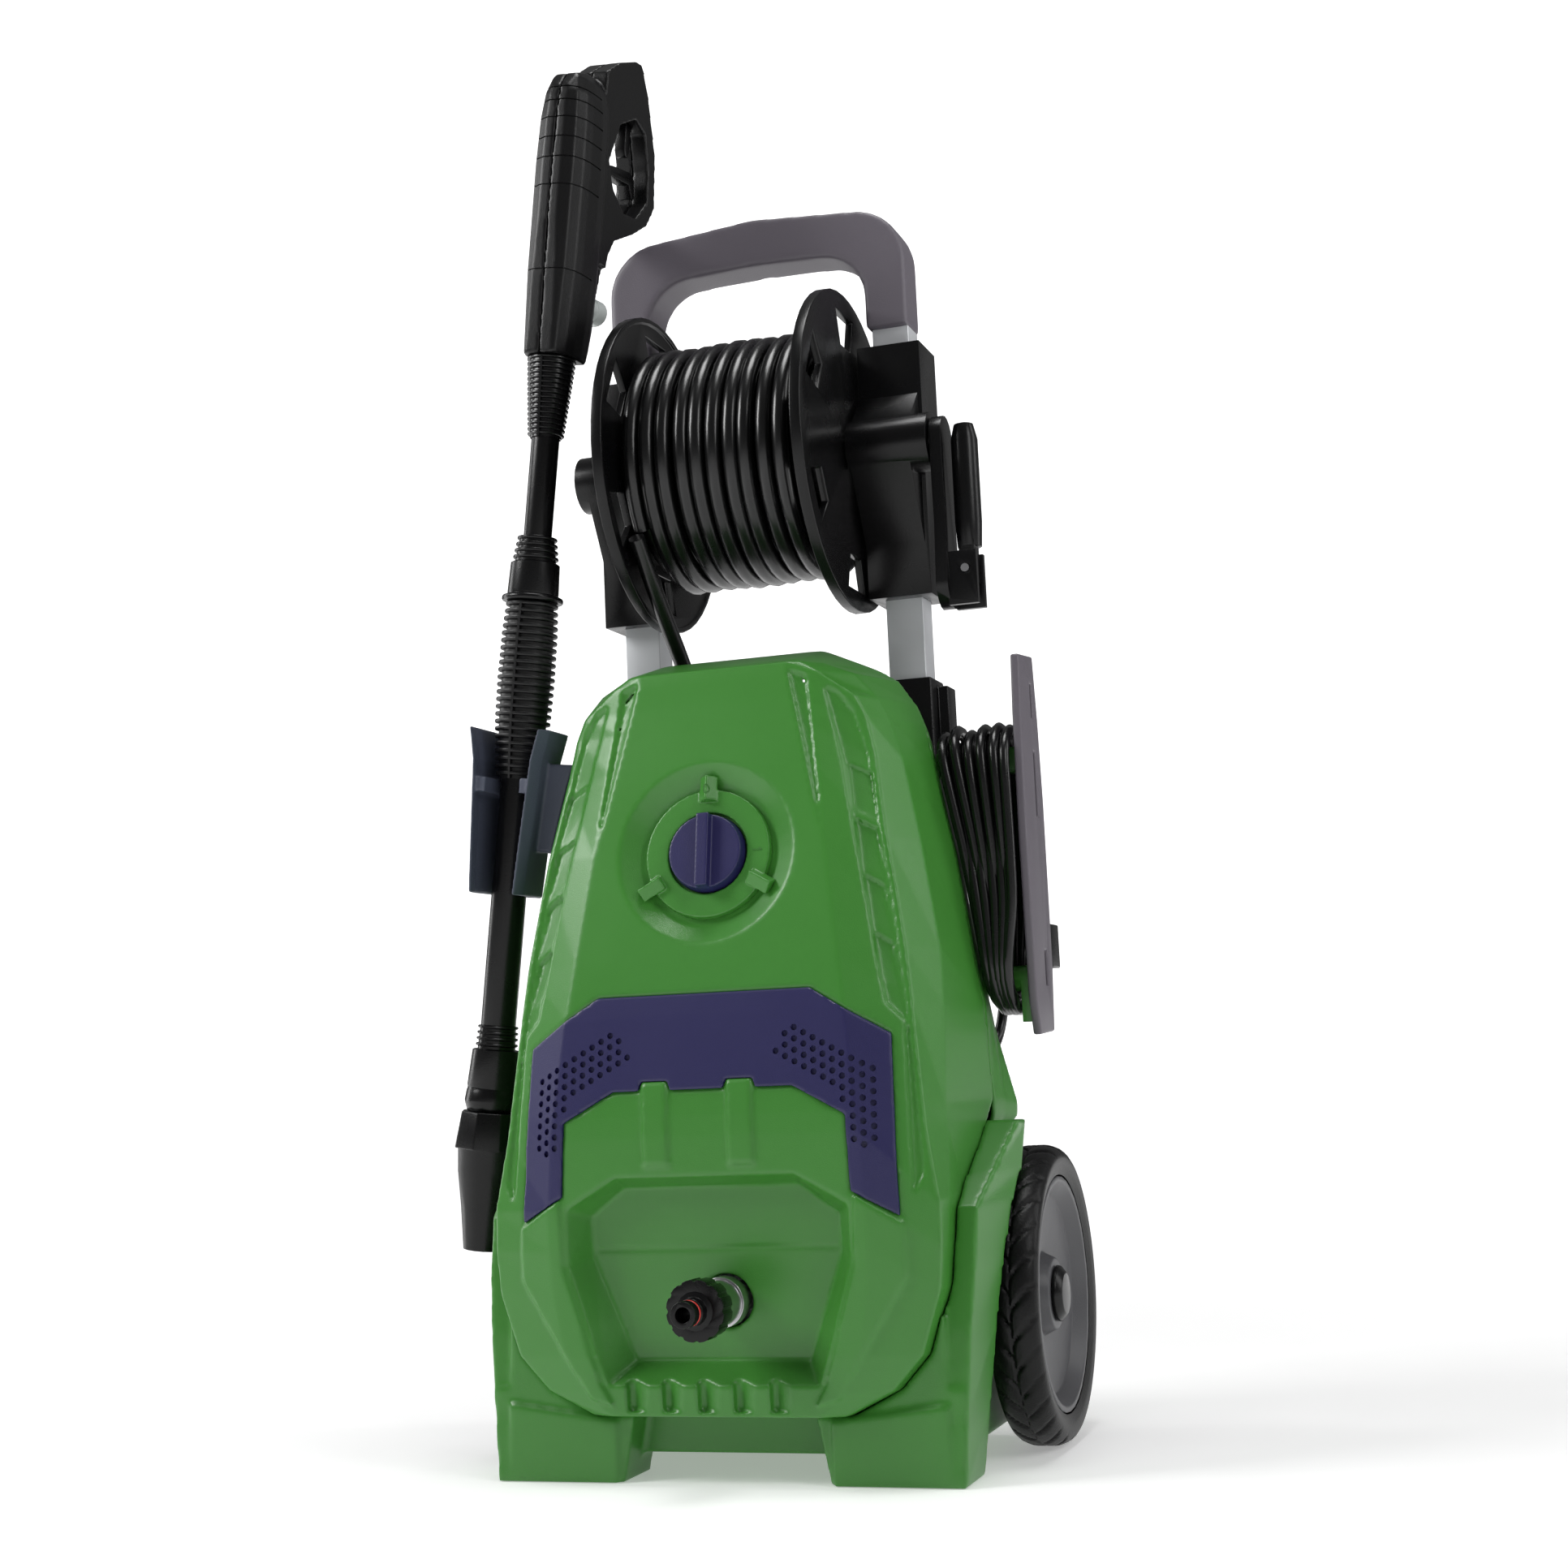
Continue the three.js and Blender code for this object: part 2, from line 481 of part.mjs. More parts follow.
function pushHandle() {
  const h = HANDLE;
  const r = 34;
  const outside = [[h.out, h.z0], ...arc(h.out - 40, h.z1 - 46, 40, 0, 80, 6), [0, h.z1],
    ...mirrored(arc(h.out - 40, h.z1 - 46, 40, 0, 80, 6)).reverse(), [-h.out, h.z0]];
  const inside = [[h.in, h.z0 - 1], ...arc(h.in - r, h.z1 - 38 - r, r, 0, 86, 6), [0, h.z1 - 36],
    ...mirrored(arc(h.in - r, h.z1 - 38 - r, r, 0, 86, 6)).reverse(), [-h.in, h.z0 - 1]];
  const spigots = both((s) => {
    const edge = POST.wall + GAP;
    const [a, b] = spanX(s, POST.x0 + edge, POST.x1 - edge);
    return box(a, b, POST.y0 + edge, POST.y1 - edge, POST.z1 - 40, POST.z1 + 2);
  });
  return join(cut(prism('y', outside, h.y0, h.y1), prism('y', inside, h.y0 - 1, h.y1 + 1)), ...spigots);
}

function reelBracket(s) {
  const [a, b] = spanX(s, 80, 127);
  const hubEnd = s > 0 ? 138 : 132;
  const hub = bar([s * 78.5, REEL.y, REEL.z], [s * hubEnd, REEL.y, REEL.z], 21, 21, 28);
  const web = prism('x', [[124, 690], [158, 632], [158, 745], [128, 716]], Math.min(s * 80, s * 124), Math.max(s * 80, s * 124));
  const block = box(a, b, 157, 201, 596, 783);
  const bore = bar([s * 60, REEL.y, REEL.z], [s * 200, REEL.y, REEL.z], 12.5, 12.5, 24);
  return cut(join(block, web, hub), postRoom(s, 500, 900), bore);
}

// ---------------------------------------------------------------- hose reel
const reelPoint = [0, REEL.y, REEL.z];

function reelDrum() {
  const x = REEL.faceX - GAP;
  return turned('x', [[0, -131], [12, -131], [12, -x], [REEL.drumR, -x], [REEL.drumR, x], [12, x], [12, 139],
    [0, 139]], reelPoint, 32);
}

function reelFlange(s) {
  const [a, b] = [s * REEL.faceX, s * (REEL.faceX + REEL.thick)];
  const disc = turned('x', [[12 + GAP, a], [REEL.flangeR - 4, a], [REEL.flangeR - 4, a - s * 2], [REEL.flangeR, a - s * 2],
    [REEL.flangeR, b], [12 + GAP, b]], reelPoint, 48);
  const windows = Array.from({ length: 6 }, (_, i) => {
    const t = (i + 0.5) * Math.PI / 3;
    const at = (r, turnBy) => [REEL.y + r * Math.cos(t + turnBy), REEL.z + r * Math.sin(t + turnBy)];
    const outline = [at(78, -0.16), at(104, -0.2), at(104, 0.2), at(78, 0.16)];
    return prism('x', outline, Math.min(a, b) - 3, Math.max(a, b) + 3);
  });
  return cut(disc, ...windows);
}

const hoseCoil = () => {
  const [inner, outer] = [REEL.drumR + GAP, HOSE.layerR[1] + HOSE.r];
  const half = REEL.faceX - 2.6;
  return turned('x', [[inner, -half], [outer, -half], [outer, half], [inner, half]], reelPoint, 40);
};

function crankArm() {
  const plate = prism('x', [...arc(REEL.y, REEL.z, 17, 10, 170, 8), [REEL.y - 14, 640],
    ...arc(REEL.y, 597, 18, 180, 360, 8), [REEL.y + 14, 640]], 139.4, 148);
  const cheeks = [[REEL.y - 13, REEL.y - 8], [REEL.y + 8, REEL.y + 13]].map(([y0, y1]) =>
    box(147, 168, y0, y1, 580, 618));
  const pinHole = bar([160, 100, 605], [160, 180, 605], 3.3, 3.3, 12);
  return cut(join(plate, ...cheeks), pinHole);
}

const crankPin = () => bar([160, REEL.y - 15, 605], [160, REEL.y + 15, 605], 3, 3, 12);

function crankGrip() {
  const tongue = box(154.5, 165.5, REEL.y - 7.5, REEL.y + 7.5, 597, 626);
  const shaft = turned('z', [[0, 622], [8.6, 622], [9.6, 640], [9.6, 700], [7, 711], [0, 713]], [161, REEL.y, 0], 20);
  return cut(join(tongue, shaft), bar([160, 100, 605], [160, 180, 605], 3.4, 3.4, 12));
}

// ---------------------------------------------------------------- mains cable and its wing plate
const PLATE_X = 188;
const HANK = { y: 146, zTop: 497, zBottom: 291, halfWidth: 31, thick: 15, x0: 126, x1: 180 };

function cablePlate() {
  const outline = [[128, 541], [172, 545], [178, 500], [182, 440], [182, 330], [176, 280], [134, 278], [126, 300],
    [122, 420], [124, 500]];
  const slots = [[500, 524], [430, 476], [312, 336]].map(([z0, z1]) => box(180, 200, 158, 166, z0, z1));
  return cut(prism('x', outline, PLATE_X, PLATE_X + 6), ...slots);
}

// Upper arm that carries the plate and the hank, from the housing side out to the plate.
const cableArm = () => cut(box(128, PLATE_X - GAP, 139, 153, 460, 478), rearForm(GAP), frontForm(GAP, 1));
// Lower swivelling hook, on a stub out of the housing side.
const HOOK_Z = 317;
const HOOK_X = 168;
const cableHook = () => join(bar([HOOK_X, HANK.y, HOOK_Z], [PLATE_X - GAP, HANK.y, HOOK_Z], 9, 9, 20),
  box(180.6, PLATE_X - GAP, HANK.y - 9, HANK.y + 9, HOOK_Z - 30, HOOK_Z));

function stadium(grow) {
  const r = HANK.halfWidth + grow;
  return [...arc(HANK.y, HANK.zTop - HANK.halfWidth, r, 0, 180, 10),
    ...arc(HANK.y, HANK.zBottom + HANK.halfWidth, r, 180, 360, 10)];
}

const cableCoil = () => cut(prism('x', stadium(0), HANK.x0, HANK.x1, [stadium(-HANK.thick).reverse()]),
  rearForm(1.2), frontForm(1.2, 1));

// ---------------------------------------------------------------- lance holder on the housing's left side
// A point given by its distance forward of, and beside, the lance axis at a height along it.
function inLanceFrame(body) {
  return body.rotate([0, THREE.MathUtils.radToDeg(LANCE.lean), 0]).translate(LANCE.tip);
}

// Its cross-section is a C, open to the front, that widens upwards; a ledge carries the grip sleeve.
function channel(grow) {
  const ring = (z, half) => {
    const w = half + grow;
    return [[-w * 0.86, -30 + grow * 4], [-w, -18], [-w * 0.98, 14], [-w * 0.66, 25 + grow], [w * 0.66, 25 + grow],
      [w * 0.98, 14], [w, -18], [w * 0.86, -30 + grow * 4]].map(([x, y]) => [x, y, z]);
  };
  const past = grow < 0 ? 1 : 0;
  return loft([ring(250 - past, 20), ring(345, 26), ring(368 + past, 31)]);
}

function lanceHolder() {
  const mouth = cut(prism('z', [[-15, -40], [15, -40], [15, -20], [-15, -20]], 240, 380));
  const wall = cut(channel(0), channel(-3.2).add(mouth));
  const ledge = channel(-1).intersect(box(-40, 40, -26, 40, 322, 332.6));
  const tube = join(bar([0, 0, 300], [0, 0, 340], LANCE.tubeR + 0.8, LANCE.tubeR + 0.8, 24),
    box(-LANCE.tubeR - 0.8, LANCE.tubeR + 0.8, -60, 0, 300, 340));
  const block = box(24, 64, -8, 20, 282, 345);
  return cut(inLanceFrame(join(wall, ledge.subtract(tube), block.subtract(channel(-1)))), frontForm(GAP, 1),
    rearForm(GAP));
}

// ---------------------------------------------------------------- gun and lance, drawn up the +Z axis
const GUN_OUTLINE = [[-20, 640], [-23, 756], [-22, 820], [-19, 838], [-12, 849], [0, 853], [14, 856], [42, 877],
  [66, 887], [74, 888], [80, 882], [90, 866], [107, 827], [112, 788], [102, 771], [82, 758], [54, 744], [46, 730],
  [42, 706], [34, 676], [20, 640]];
const GUN_LOOP = [[37, 800], [50, 832], [72, 844], [88, 838], [97, 813], [99, 788], [84, 771], [64, 769], [46, 781]];
const TRIGGER_PIVOT = [30, 796];
const LOCK_PIVOT = [78, 848];

function gunForm() {
  const outline = prism('x', GUN_OUTLINE, -21, 21, [GUN_LOOP.slice().reverse()]);
  const trunk = loft([[640, 17.5, 0], [700, 20.5, 0], [780, 21, 0], [815, 20, 0.6], [834, 18, 2.4], [846, 14.5, 6],
    [853, 10, 11], [857, 5, 17]].map(([z, w, back]) => {
    const half = [[0.38, -22.6], [0.74, -18.6], [0.94, -10.5], [1, -1], [1, 12], [0.93, 22], [0.72, 31], [0.4, 37]]
      .map(([x, y]) => [x * w, y < 0 ? y + back : y]);
    return [...half, ...mirrored(half).reverse()].map(([x, y]) => [x, y, z]);
  }));
  const handle = box(-14, 14, 24, 130, 720, 892);
  const neck = box(-10, 10, 20, 60, 650, 730);
  return outline.intersect(join(trunk, handle, neck));
}

function gunShell(right) {
  const [px, pz] = TRIGGER_PIVOT;
  const [lx, lz] = LOCK_PIVOT;
  const rooms = [bar([0, 0, 600], [0, 0, 662], LANCE.upperR + 0.4, LANCE.upperR + 0.4, 20),
    box(-6, 6, px - 6, 60, pz - 16, pz + 10), box(-5, 5, lx - 14, lx + 6, lz - 24, lz + 6),
    bar([-9, px, pz], [9, px, pz], 2.5, 2.5, 10), bar([0, 30, 690], [0, 70, 690], 8.4, 8.4, 20)];
  const half = right ? box(0.2, 40, -60, 160, 600, 900) : box(-40, -0.2, -60, 160, 600, 900);
  return cut(gunForm(), ...rooms).intersect(half);
}

const trigger = () => join(prism('x', [[28, 799], [34, 801], [58, 804], [84, 806], [90, 797], [94, 798], [92, 812],
  [86, 816], [58, 812], [33, 806]].map(([y, z]) => [y, z - 8]), -5.2, 5.2),
bar([-8, ...TRIGGER_PIVOT], [8, ...TRIGGER_PIVOT], 2, 2, 10));
const triggerLock = () => {
  const [y, z] = LOCK_PIVOT;
  return prism('x', [[y - 4, z + 4], [y - 3.4, z - 24], [y - 1, z - 30], [y + 3, z - 30], [y + 4, z - 24],
    [y + 4, z + 4]], -4.4, 4.4);
};
const gunCap = () => turned('y', [[0, 36], [8, 36], [8, 47], [9.5, 47.4], [10, 58], [7, 62], [0, 62.6]], [0, 0, 690], 20);

const bendGuard = () => cut(turned('z', [[10.6, 581], [13, 581], [16, 612], [17.8, 639.4], [10.6, 639.4]], [0, 0, 0], 24));
const upperTube = () => bar([0, 0, 462], [0, 0, 660], LANCE.upperR, LANCE.upperR, 20);
const lanceCollar = () => turned('z', [[10.6, 461], [22, 461], [22, 465], [18.4, 468], [18.4, 489], [14.4, 490],
  [14.2, 509], [10.6, 509]], [0, 0, 0], 24);
const gripSleeve = () => turned('z', [[12.9, 333], [18, 334], [20.6, 372], [20.6, 446], [20, 460.6], [10.6, 460.6],
  [10.6, 440], [12.9, 440]], [0, 0, 0], 24);
const lowerTube = () => bar([0, 0, 146], [0, 0, 439.5], LANCE.tubeR, LANCE.tubeR, 20);
const nozzleCoupling = () => turned('z', [[0, 97.4], [17.5, 97.4], [19.5, 104], [16.7, 141], [15, 142], [15, 157],
  [12.9, 158], [12.9, 145.6], [0, 145.6]], [0, 0, 0], 24);

function nozzleHead() {
  const hex = bar([0, 0, 71], [0, 0, 97], 25, 22, 8);
  const wand = loft([[0, 12.6, 10], [30, 17, 13], [56, 21.5, 17], [76, 23, 19]].map(([z, a, b]) =>
    Array.from({ length: 12 }, (_, i) => [a * Math.cos(i * Math.PI / 6), b * Math.sin(i * Math.PI / 6), z])));
  const bore = bar([0, 0, -1], [0, 0, 14], 5.5, 5.5, 16);
  return cut(join(hex, wand), bore);
}

// ---------------------------------------------------------------- reel hose tail and its coupling
const TAIL = [[-62.5, 66, 640], [-62, 79, 624.7], [-61, 95, 605.5], [-59.5, 114.4, 582.5], [-58, 131, 563], [-57, 148, 542],
  [-56.5, 162, 519], [-56, 171, 496], [-56, 176, 472], [-56, 177, 446.4]];

function tubeAlong(points, r, sides, steps) {
  const curve = new THREE.CatmullRomCurve3(points.map((p) => new THREE.Vector3(...p)));
  const section = new THREE.Shape(arc(0, 0, r, 0, 360 * (sides - 1) / sides, sides - 1)
    .map(([a, b]) => new THREE.Vector2(a, b)));
  return solid(new THREE.ExtrudeGeometry(section, { steps, bevelEnabled: false, extrudePath: curve }));
}

const hoseTail = () => tubeAlong(TAIL, HOSE.r, 10, 12);
const hoseConnector = () => turned('z', [[0, 378], [7, 378], [7, 392], [10, 393], [12.5, 396], [12.5, 428], [9, 434],
  [7.6, 446], [0, 446]], [-56, 177, 0], 24);
const hoseClip = () => cut(box(-72, -40, REAR_Y + 0.8, 186, 404, 420),
  bar([-56, 177, 380], [-56, 177, 450], 13, 13, 24), box(-66, -46, 178, 200, 380, 450));

// ---------------------------------------------------------------- cable lead, gland and plug
const GLAND = { x: 141, z: 268, end: 190 };
const BEND = 30;
const LEAD_X = 155;
const LEAD_TURN = 160;
const PLUG = { x: 171, top: 380, archZ: 392, fromX: 176 };
const radians = THREE.MathUtils.degToRad;

// Out of the gland, round and up behind the hank, and forward again against its back.
function leadRoute() {
  const first = GLAND.end + 4;
  const last = radians(LEAD_TURN);
  const points = [[GLAND.x, GLAND.end + 0.6, GLAND.z]];
  for (let h = 0; h <= LEAD_TURN; h += 20) {
    const t = radians(h);
    points.push([0, first + BEND * Math.sin(t), GLAND.z + BEND * (1 - Math.cos(t))]);
  }
  const [, y1, z1] = points.at(-1);
  for (let h = LEAD_TURN - 17.5; h >= 90; h -= 17.5) {
    const t = radians(h);
    points.push([0, y1 + BEND * (Math.sin(last) - Math.sin(t)), z1 + BEND * (Math.cos(t) - Math.cos(last))]);
  }
  const n = points.length - 1;
  return points.map(([, y, z], i) => [GLAND.x + (LEAD_X - GLAND.x) * (i / n) ** 2 * (3 - 2 * i / n), y, z]);
}

// Up out of the hank's back, over in an arch, and down to the plug.
function plugRoute() {
  const back = HANK.y + HANK.halfWidth + CABLE_R + 0.6;
  const points = [[PLUG.fromX, back, PLUG.archZ - 32], [PLUG.fromX, back, PLUG.archZ - 16]];
  for (let h = 0; h <= 180; h += 20) {
    const t = radians(h);
    const x = PLUG.fromX + (PLUG.x - PLUG.fromX) * h / 180;
    points.push([x, back + BEND * (1 - Math.cos(t)), PLUG.archZ + BEND * Math.sin(t)]);
  }
  return [...points, [PLUG.x, back + 2 * BEND, PLUG.top + 0.4]];
}

const cableGland = () => turned('y', [[0, REAR_Y + 0.6], [9, REAR_Y + 0.6], [9, 168], [7.4, 170],
  [5.3, GLAND.end], [0, GLAND.end]], [GLAND.x, 0, GLAND.z], 20);
const cableLead = () => tubeAlong(leadRoute(), CABLE_R, 8, 16);
const plugLead = () => tubeAlong(plugRoute(), CABLE_R, 8, 14);

function mainsPlug() {
  const y = HANK.y + HANK.halfWidth + CABLE_R + 0.6 + 2 * BEND;
  const [x, top] = [PLUG.x, PLUG.top];
  return join(turned('z', [[0, top], [5.6, top], [8, top - 24], [0, top - 24]], [x, y, 0], 14),
    box(x - 13, x + 13, y - 13, y + 13, top - 54, top - 22), box(x - 8, x - 5, y - 3, y + 3, top - 74, top - 53),
    box(x + 5, x + 8, y - 3, y + 3, top - 74, top - 53), box(x - 2, x + 2, y + 6, y + 10, top - 78, top - 53));
}

// ---------------------------------------------------------------- assembly
const group = new THREE.Group();
const onFloor = new THREE.Group();
group.add(onFloor);
const spray = new THREE.Group();
spray.position.set(...LANCE.tip);
spray.rotation.y = LANCE.lean;
onFloor.add(spray);
const gun = new THREE.Group();
gun.rotation.z = -THREE.MathUtils.degToRad(LANCE.handleTurn);
spray.add(gun);

function add(parent, name, body, material) {
  const mesh = new THREE.Mesh(toGeometry(body), material);
  mesh.name = name;
  parent.add(mesh);
}

add(onFloor, 'base_chassis', baseChassis(), green());
add(onFloor, 'front_cover', frontCover(), green());
add(onFloor, 'rear_cover', rearCover(), green());
add(onFloor, 'vent_band', ventBand(), purple());
add(onFloor, 'dial_ring', dialRing(), green());
add(onFloor, 'on_off_knob', onOffKnob(), purple());
add(onFloor, 'switch_box', switchBox(), black());
add(onFloor, 'motor', motor(), steel());
add(onFloor, 'pump_head', pumpHead(), aluminium());
add(onFloor, 'capacitor', capacitor(), black());
add(onFloor, 'outlet_pipe', outletPipe(), brass());
add(onFloor, 'inlet_pipe', inletPipe(), steel());
add(onFloor, 'inlet_nut', inletNut(), black());
add(onFloor, 'inlet_nipple', inletNipple(), black());
add(onFloor, 'axle', axle(), steel());
for (const [side, s] of [['right', 1], ['left', -1]]) {
  add(onFloor, `${side}_tyre`, tyre(s), rubber());
  add(onFloor, `${side}_rim`, rim(s), grey());
  add(onFloor, `${side}_hub_cap`, hubCap(s), black());
  add(onFloor, `${side}_post`, post(s), aluminium());
  add(onFloor, `${side}_post_sleeve`, postSleeve(s), black());
  add(onFloor, `${side}_reel_bracket`, reelBracket(s), black());
  add(onFloor, `${side}_reel_flange`, reelFlange(s), black());
}
add(onFloor, 'push_handle', pushHandle(), grey());
add(onFloor, 'reel_drum', reelDrum(), black());
add(onFloor, 'hose_coil', hoseCoil(), rubber());
add(onFloor, 'crank_arm', crankArm(), black());
add(onFloor, 'crank_pin', crankPin(), steel());
add(onFloor, 'crank_grip', crankGrip(), black());
add(onFloor, 'cable_plate', cablePlate(), grey());
add(onFloor, 'cable_arm', cableArm(), green());
add(onFloor, 'cable_hook', cableHook(), green());
add(onFloor, 'cable_coil', cableCoil(), rubber());
add(onFloor, 'cable_gland', cableGland(), black());
add(onFloor, 'cable_lead', cableLead(), rubber());
add(onFloor, 'plug_lead', plugLead(), rubber());
add(onFloor, 'mains_plug', mainsPlug(), black());
add(onFloor, 'lance_holder', lanceHolder(), slate());
add(onFloor, 'hose_tail', hoseTail(), rubber());
add(onFloor, 'hose_connector', hoseConnector(), black());
add(onFloor, 'hose_clip', hoseClip(), black());
add(gun, 'gun_right_shell', gunShell(true), black());
add(gun, 'gun_left_shell', gunShell(false), black());
add(gun, 'trigger', trigger(), black());
add(gun, 'trigger_lock', triggerLock(), black());
add(gun, 'gun_inlet_cap', gunCap(), grey());
add(spray, 'bend_guard', bendGuard(), rubber());
add(spray, 'upper_tube', upperTube(), black());
add(spray, 'lance_collar', lanceCollar(), black());
add(spray, 'grip_sleeve', gripSleeve(), rubber());
add(spray, 'lower_tube', lowerTube(), black());
add(spray, 'nozzle_coupling', nozzleCoupling(), black());
add(spray, 'nozzle_head', nozzleHead(), black());

// The origin is the middle of the footprint of everything but the hose and the cable, at floor level.
const CORDS = ['hose_coil', 'hose_tail', 'hose_connector', 'cable_coil', 'cable_lead', 'plug_lead', 'mains_plug'];
group.updateMatrixWorld(true);
const extent = new THREE.Box3();
group.traverse((item) => {
  if (item.isMesh && !CORDS.includes(item.name)) extent.union(new THREE.Box3().setFromObject(item, true));
});
const middle = extent.getCenter(new THREE.Vector3());
group.position.set(-middle.x, -middle.y, 0);
group.updateMatrixWorld(true);

export default group;
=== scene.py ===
"""Looks of the upright pressure washer: rounded shells, hose and cable, materials, light and camera."""
import json
import math
import random
import bmesh
import bpy
from mathutils import Matrix, Vector


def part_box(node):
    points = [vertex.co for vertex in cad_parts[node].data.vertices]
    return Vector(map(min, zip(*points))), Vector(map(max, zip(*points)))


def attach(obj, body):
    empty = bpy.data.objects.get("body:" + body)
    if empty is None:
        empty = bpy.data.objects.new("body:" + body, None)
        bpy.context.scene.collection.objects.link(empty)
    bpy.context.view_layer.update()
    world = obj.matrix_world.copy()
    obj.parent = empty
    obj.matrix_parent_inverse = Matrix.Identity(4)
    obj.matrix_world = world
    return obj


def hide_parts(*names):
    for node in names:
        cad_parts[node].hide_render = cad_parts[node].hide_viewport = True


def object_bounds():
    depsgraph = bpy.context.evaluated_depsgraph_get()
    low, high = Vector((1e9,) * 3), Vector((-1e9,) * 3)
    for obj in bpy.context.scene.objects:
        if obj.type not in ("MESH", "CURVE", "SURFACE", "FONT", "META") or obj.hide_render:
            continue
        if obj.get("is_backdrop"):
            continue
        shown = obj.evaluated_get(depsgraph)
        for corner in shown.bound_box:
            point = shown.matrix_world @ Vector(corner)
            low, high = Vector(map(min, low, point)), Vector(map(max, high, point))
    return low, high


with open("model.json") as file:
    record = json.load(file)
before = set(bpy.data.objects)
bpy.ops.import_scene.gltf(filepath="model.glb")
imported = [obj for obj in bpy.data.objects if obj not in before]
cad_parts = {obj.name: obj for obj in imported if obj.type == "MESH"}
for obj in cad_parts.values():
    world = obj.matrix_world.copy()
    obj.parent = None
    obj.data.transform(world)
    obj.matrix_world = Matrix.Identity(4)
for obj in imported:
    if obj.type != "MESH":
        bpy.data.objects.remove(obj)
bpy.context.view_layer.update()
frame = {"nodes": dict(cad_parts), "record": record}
NODES = frame["nodes"]
BODY_OF = {node: body for body, nodes in frame["record"]["behaviour"]["bodies"].items() for node in nodes}

# The CAD model's drawing origin: the middle of the base, at the legs' front edge, on the floor.
low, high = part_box("base_chassis")
ORIGIN = Vector(((low[0] + high[0]) / 2, low[1], 0))


def at(x, y, z):
    """A point in the drawing's millimetres, in the row frame."""
    return ORIGIN + Vector((x, y, z)) / 1000


# ------------------------------------------------------------------ camera
FOCAL_OVER_WIDTH = 2853.1 / 1932
YAW, PITCH, ROLL = (math.radians(a) for a in (18.612, 6.656, -2.582))

camera_data = bpy.data.cameras.new("camera")
camera_data.sensor_width = 36
camera_data.lens = 36 * FOCAL_OVER_WIDTH
camera_data.clip_end = 50
camera = bpy.data.objects.new("camera", camera_data)
bpy.context.scene.collection.objects.link(camera)
ahead = Vector((-math.sin(YAW) * math.cos(PITCH), math.cos(YAW) * math.cos(PITCH), math.sin(PITCH)))
level = Vector((math.cos(YAW), math.sin(YAW), 0))
upward = level.cross(ahead)
right = math.cos(ROLL) * level + math.sin(ROLL) * upward
up = -math.sin(ROLL) * level + math.cos(ROLL) * upward
turn = Matrix((right, up, -ahead)).transposed().to_4x4()
camera.matrix_world = Matrix.Translation(at(542.3, -1427.4, 272.2)) @ turn
bpy.context.scene.camera = camera


# ------------------------------------------------------------------ materials
SLOW_SCALE = 14
GLOSS_SPREAD = 0.05
GRAIN_HEIGHT = 0.0004


def material(name, colour, roughness, bump=0.0, grain=900, metallic=0.0, mottle=0.04, coat=0.0,
             specular=0.5):
    """Moulded plastic, rubber or metal: a fine grain in its bump, and slow changes of tone and gloss."""
    m = bpy.data.materials.new(name)
    m.use_nodes = True
    nodes, links = m.node_tree.nodes, m.node_tree.links
    shader = nodes["Principled BSDF"]
    shader.inputs["Metallic"].default_value = metallic
    shader.inputs["Coat Weight"].default_value = coat
    shader.inputs["Coat Roughness"].default_value = 0.2
    shader.inputs["Specular IOR Level"].default_value = specular
    place = nodes.new("ShaderNodeTexCoord")
    slow = nodes.new("ShaderNodeTexNoise")
    slow.inputs["Scale"].default_value = SLOW_SCALE
    slow.inputs["Detail"].default_value = 4
    fine = nodes.new("ShaderNodeTexNoise")
    fine.inputs["Scale"].default_value = grain
    fine.inputs["Detail"].default_value = 2
    for texture in (slow, fine):
        links.new(place.outputs["Object"], texture.inputs["Vector"])
    tone = nodes.new("ShaderNodeMixRGB")
    tone.inputs["Color1"].default_value = (*(c * (1 - mottle) for c in colour), 1)
    tone.inputs["Color2"].default_value = (*(min(1, c * (1 + mottle)) for c in colour), 1)
    links.new(slow.outputs["Fac"], tone.inputs["Fac"])
    links.new(tone.outputs["Color"], shader.inputs["Base Color"])
    gloss = nodes.new("ShaderNodeMapRange")
    gloss.inputs["To Min"].default_value = roughness - GLOSS_SPREAD
    gloss.inputs["To Max"].default_value = roughness + GLOSS_SPREAD
    links.new(slow.outputs["Fac"], gloss.inputs["Value"])
    links.new(gloss.outputs["Result"], shader.inputs["Roughness"])
    relief = nodes.new("ShaderNodeBump")
    relief.inputs["Strength"].default_value = bump
    relief.inputs["Distance"].default_value = GRAIN_HEIGHT
    links.new(fine.outputs["Fac"], relief.inputs["Height"])
    links.new(relief.outputs["Normal"], shader.inputs["Normal"])
    return m


def tint(r, g, b):
    """A display colour from 0 to 255 as the linear colour that the shader works in."""
    return tuple(((c / 255 + 0.055) / 1.055) ** 2.4 if c > 10 else c / 255 / 12.92
                 for c in (r, g, b))


GREEN = material("green_plastic", tint(60, 126, 46), 0.33, bump=0.22, grain=1500)
PURPLE = material("purple_plastic", tint(33, 31, 78), 0.4, bump=0.25, grain=1500)
BLACK = material("black_plastic", tint(8, 8, 9), 0.27, bump=0.18, grain=1300, specular=0.28)
SATIN_BLACK = material("satin_black", tint(9, 9, 10), 0.36, bump=0.25, grain=1100, specular=0.3)
GREY = material("grey_plastic", tint(94, 89, 97), 0.46, bump=0.35, grain=1000)
SLATE = material("slate_plastic", tint(72, 77, 92), 0.48, bump=0.3, grain=1000)
RIM_GREY = material("rim_plastic", tint(76, 76, 79), 0.42, bump=0.2, grain=1000)
TYRE = material("tyre_rubber", tint(9, 9, 10), 0.4, bump=0.4, grain=700, specular=0.25)
RUBBER = material("soft_rubber", tint(7, 7, 8), 0.27, bump=0.1, grain=900, coat=0.1, specular=0.4)
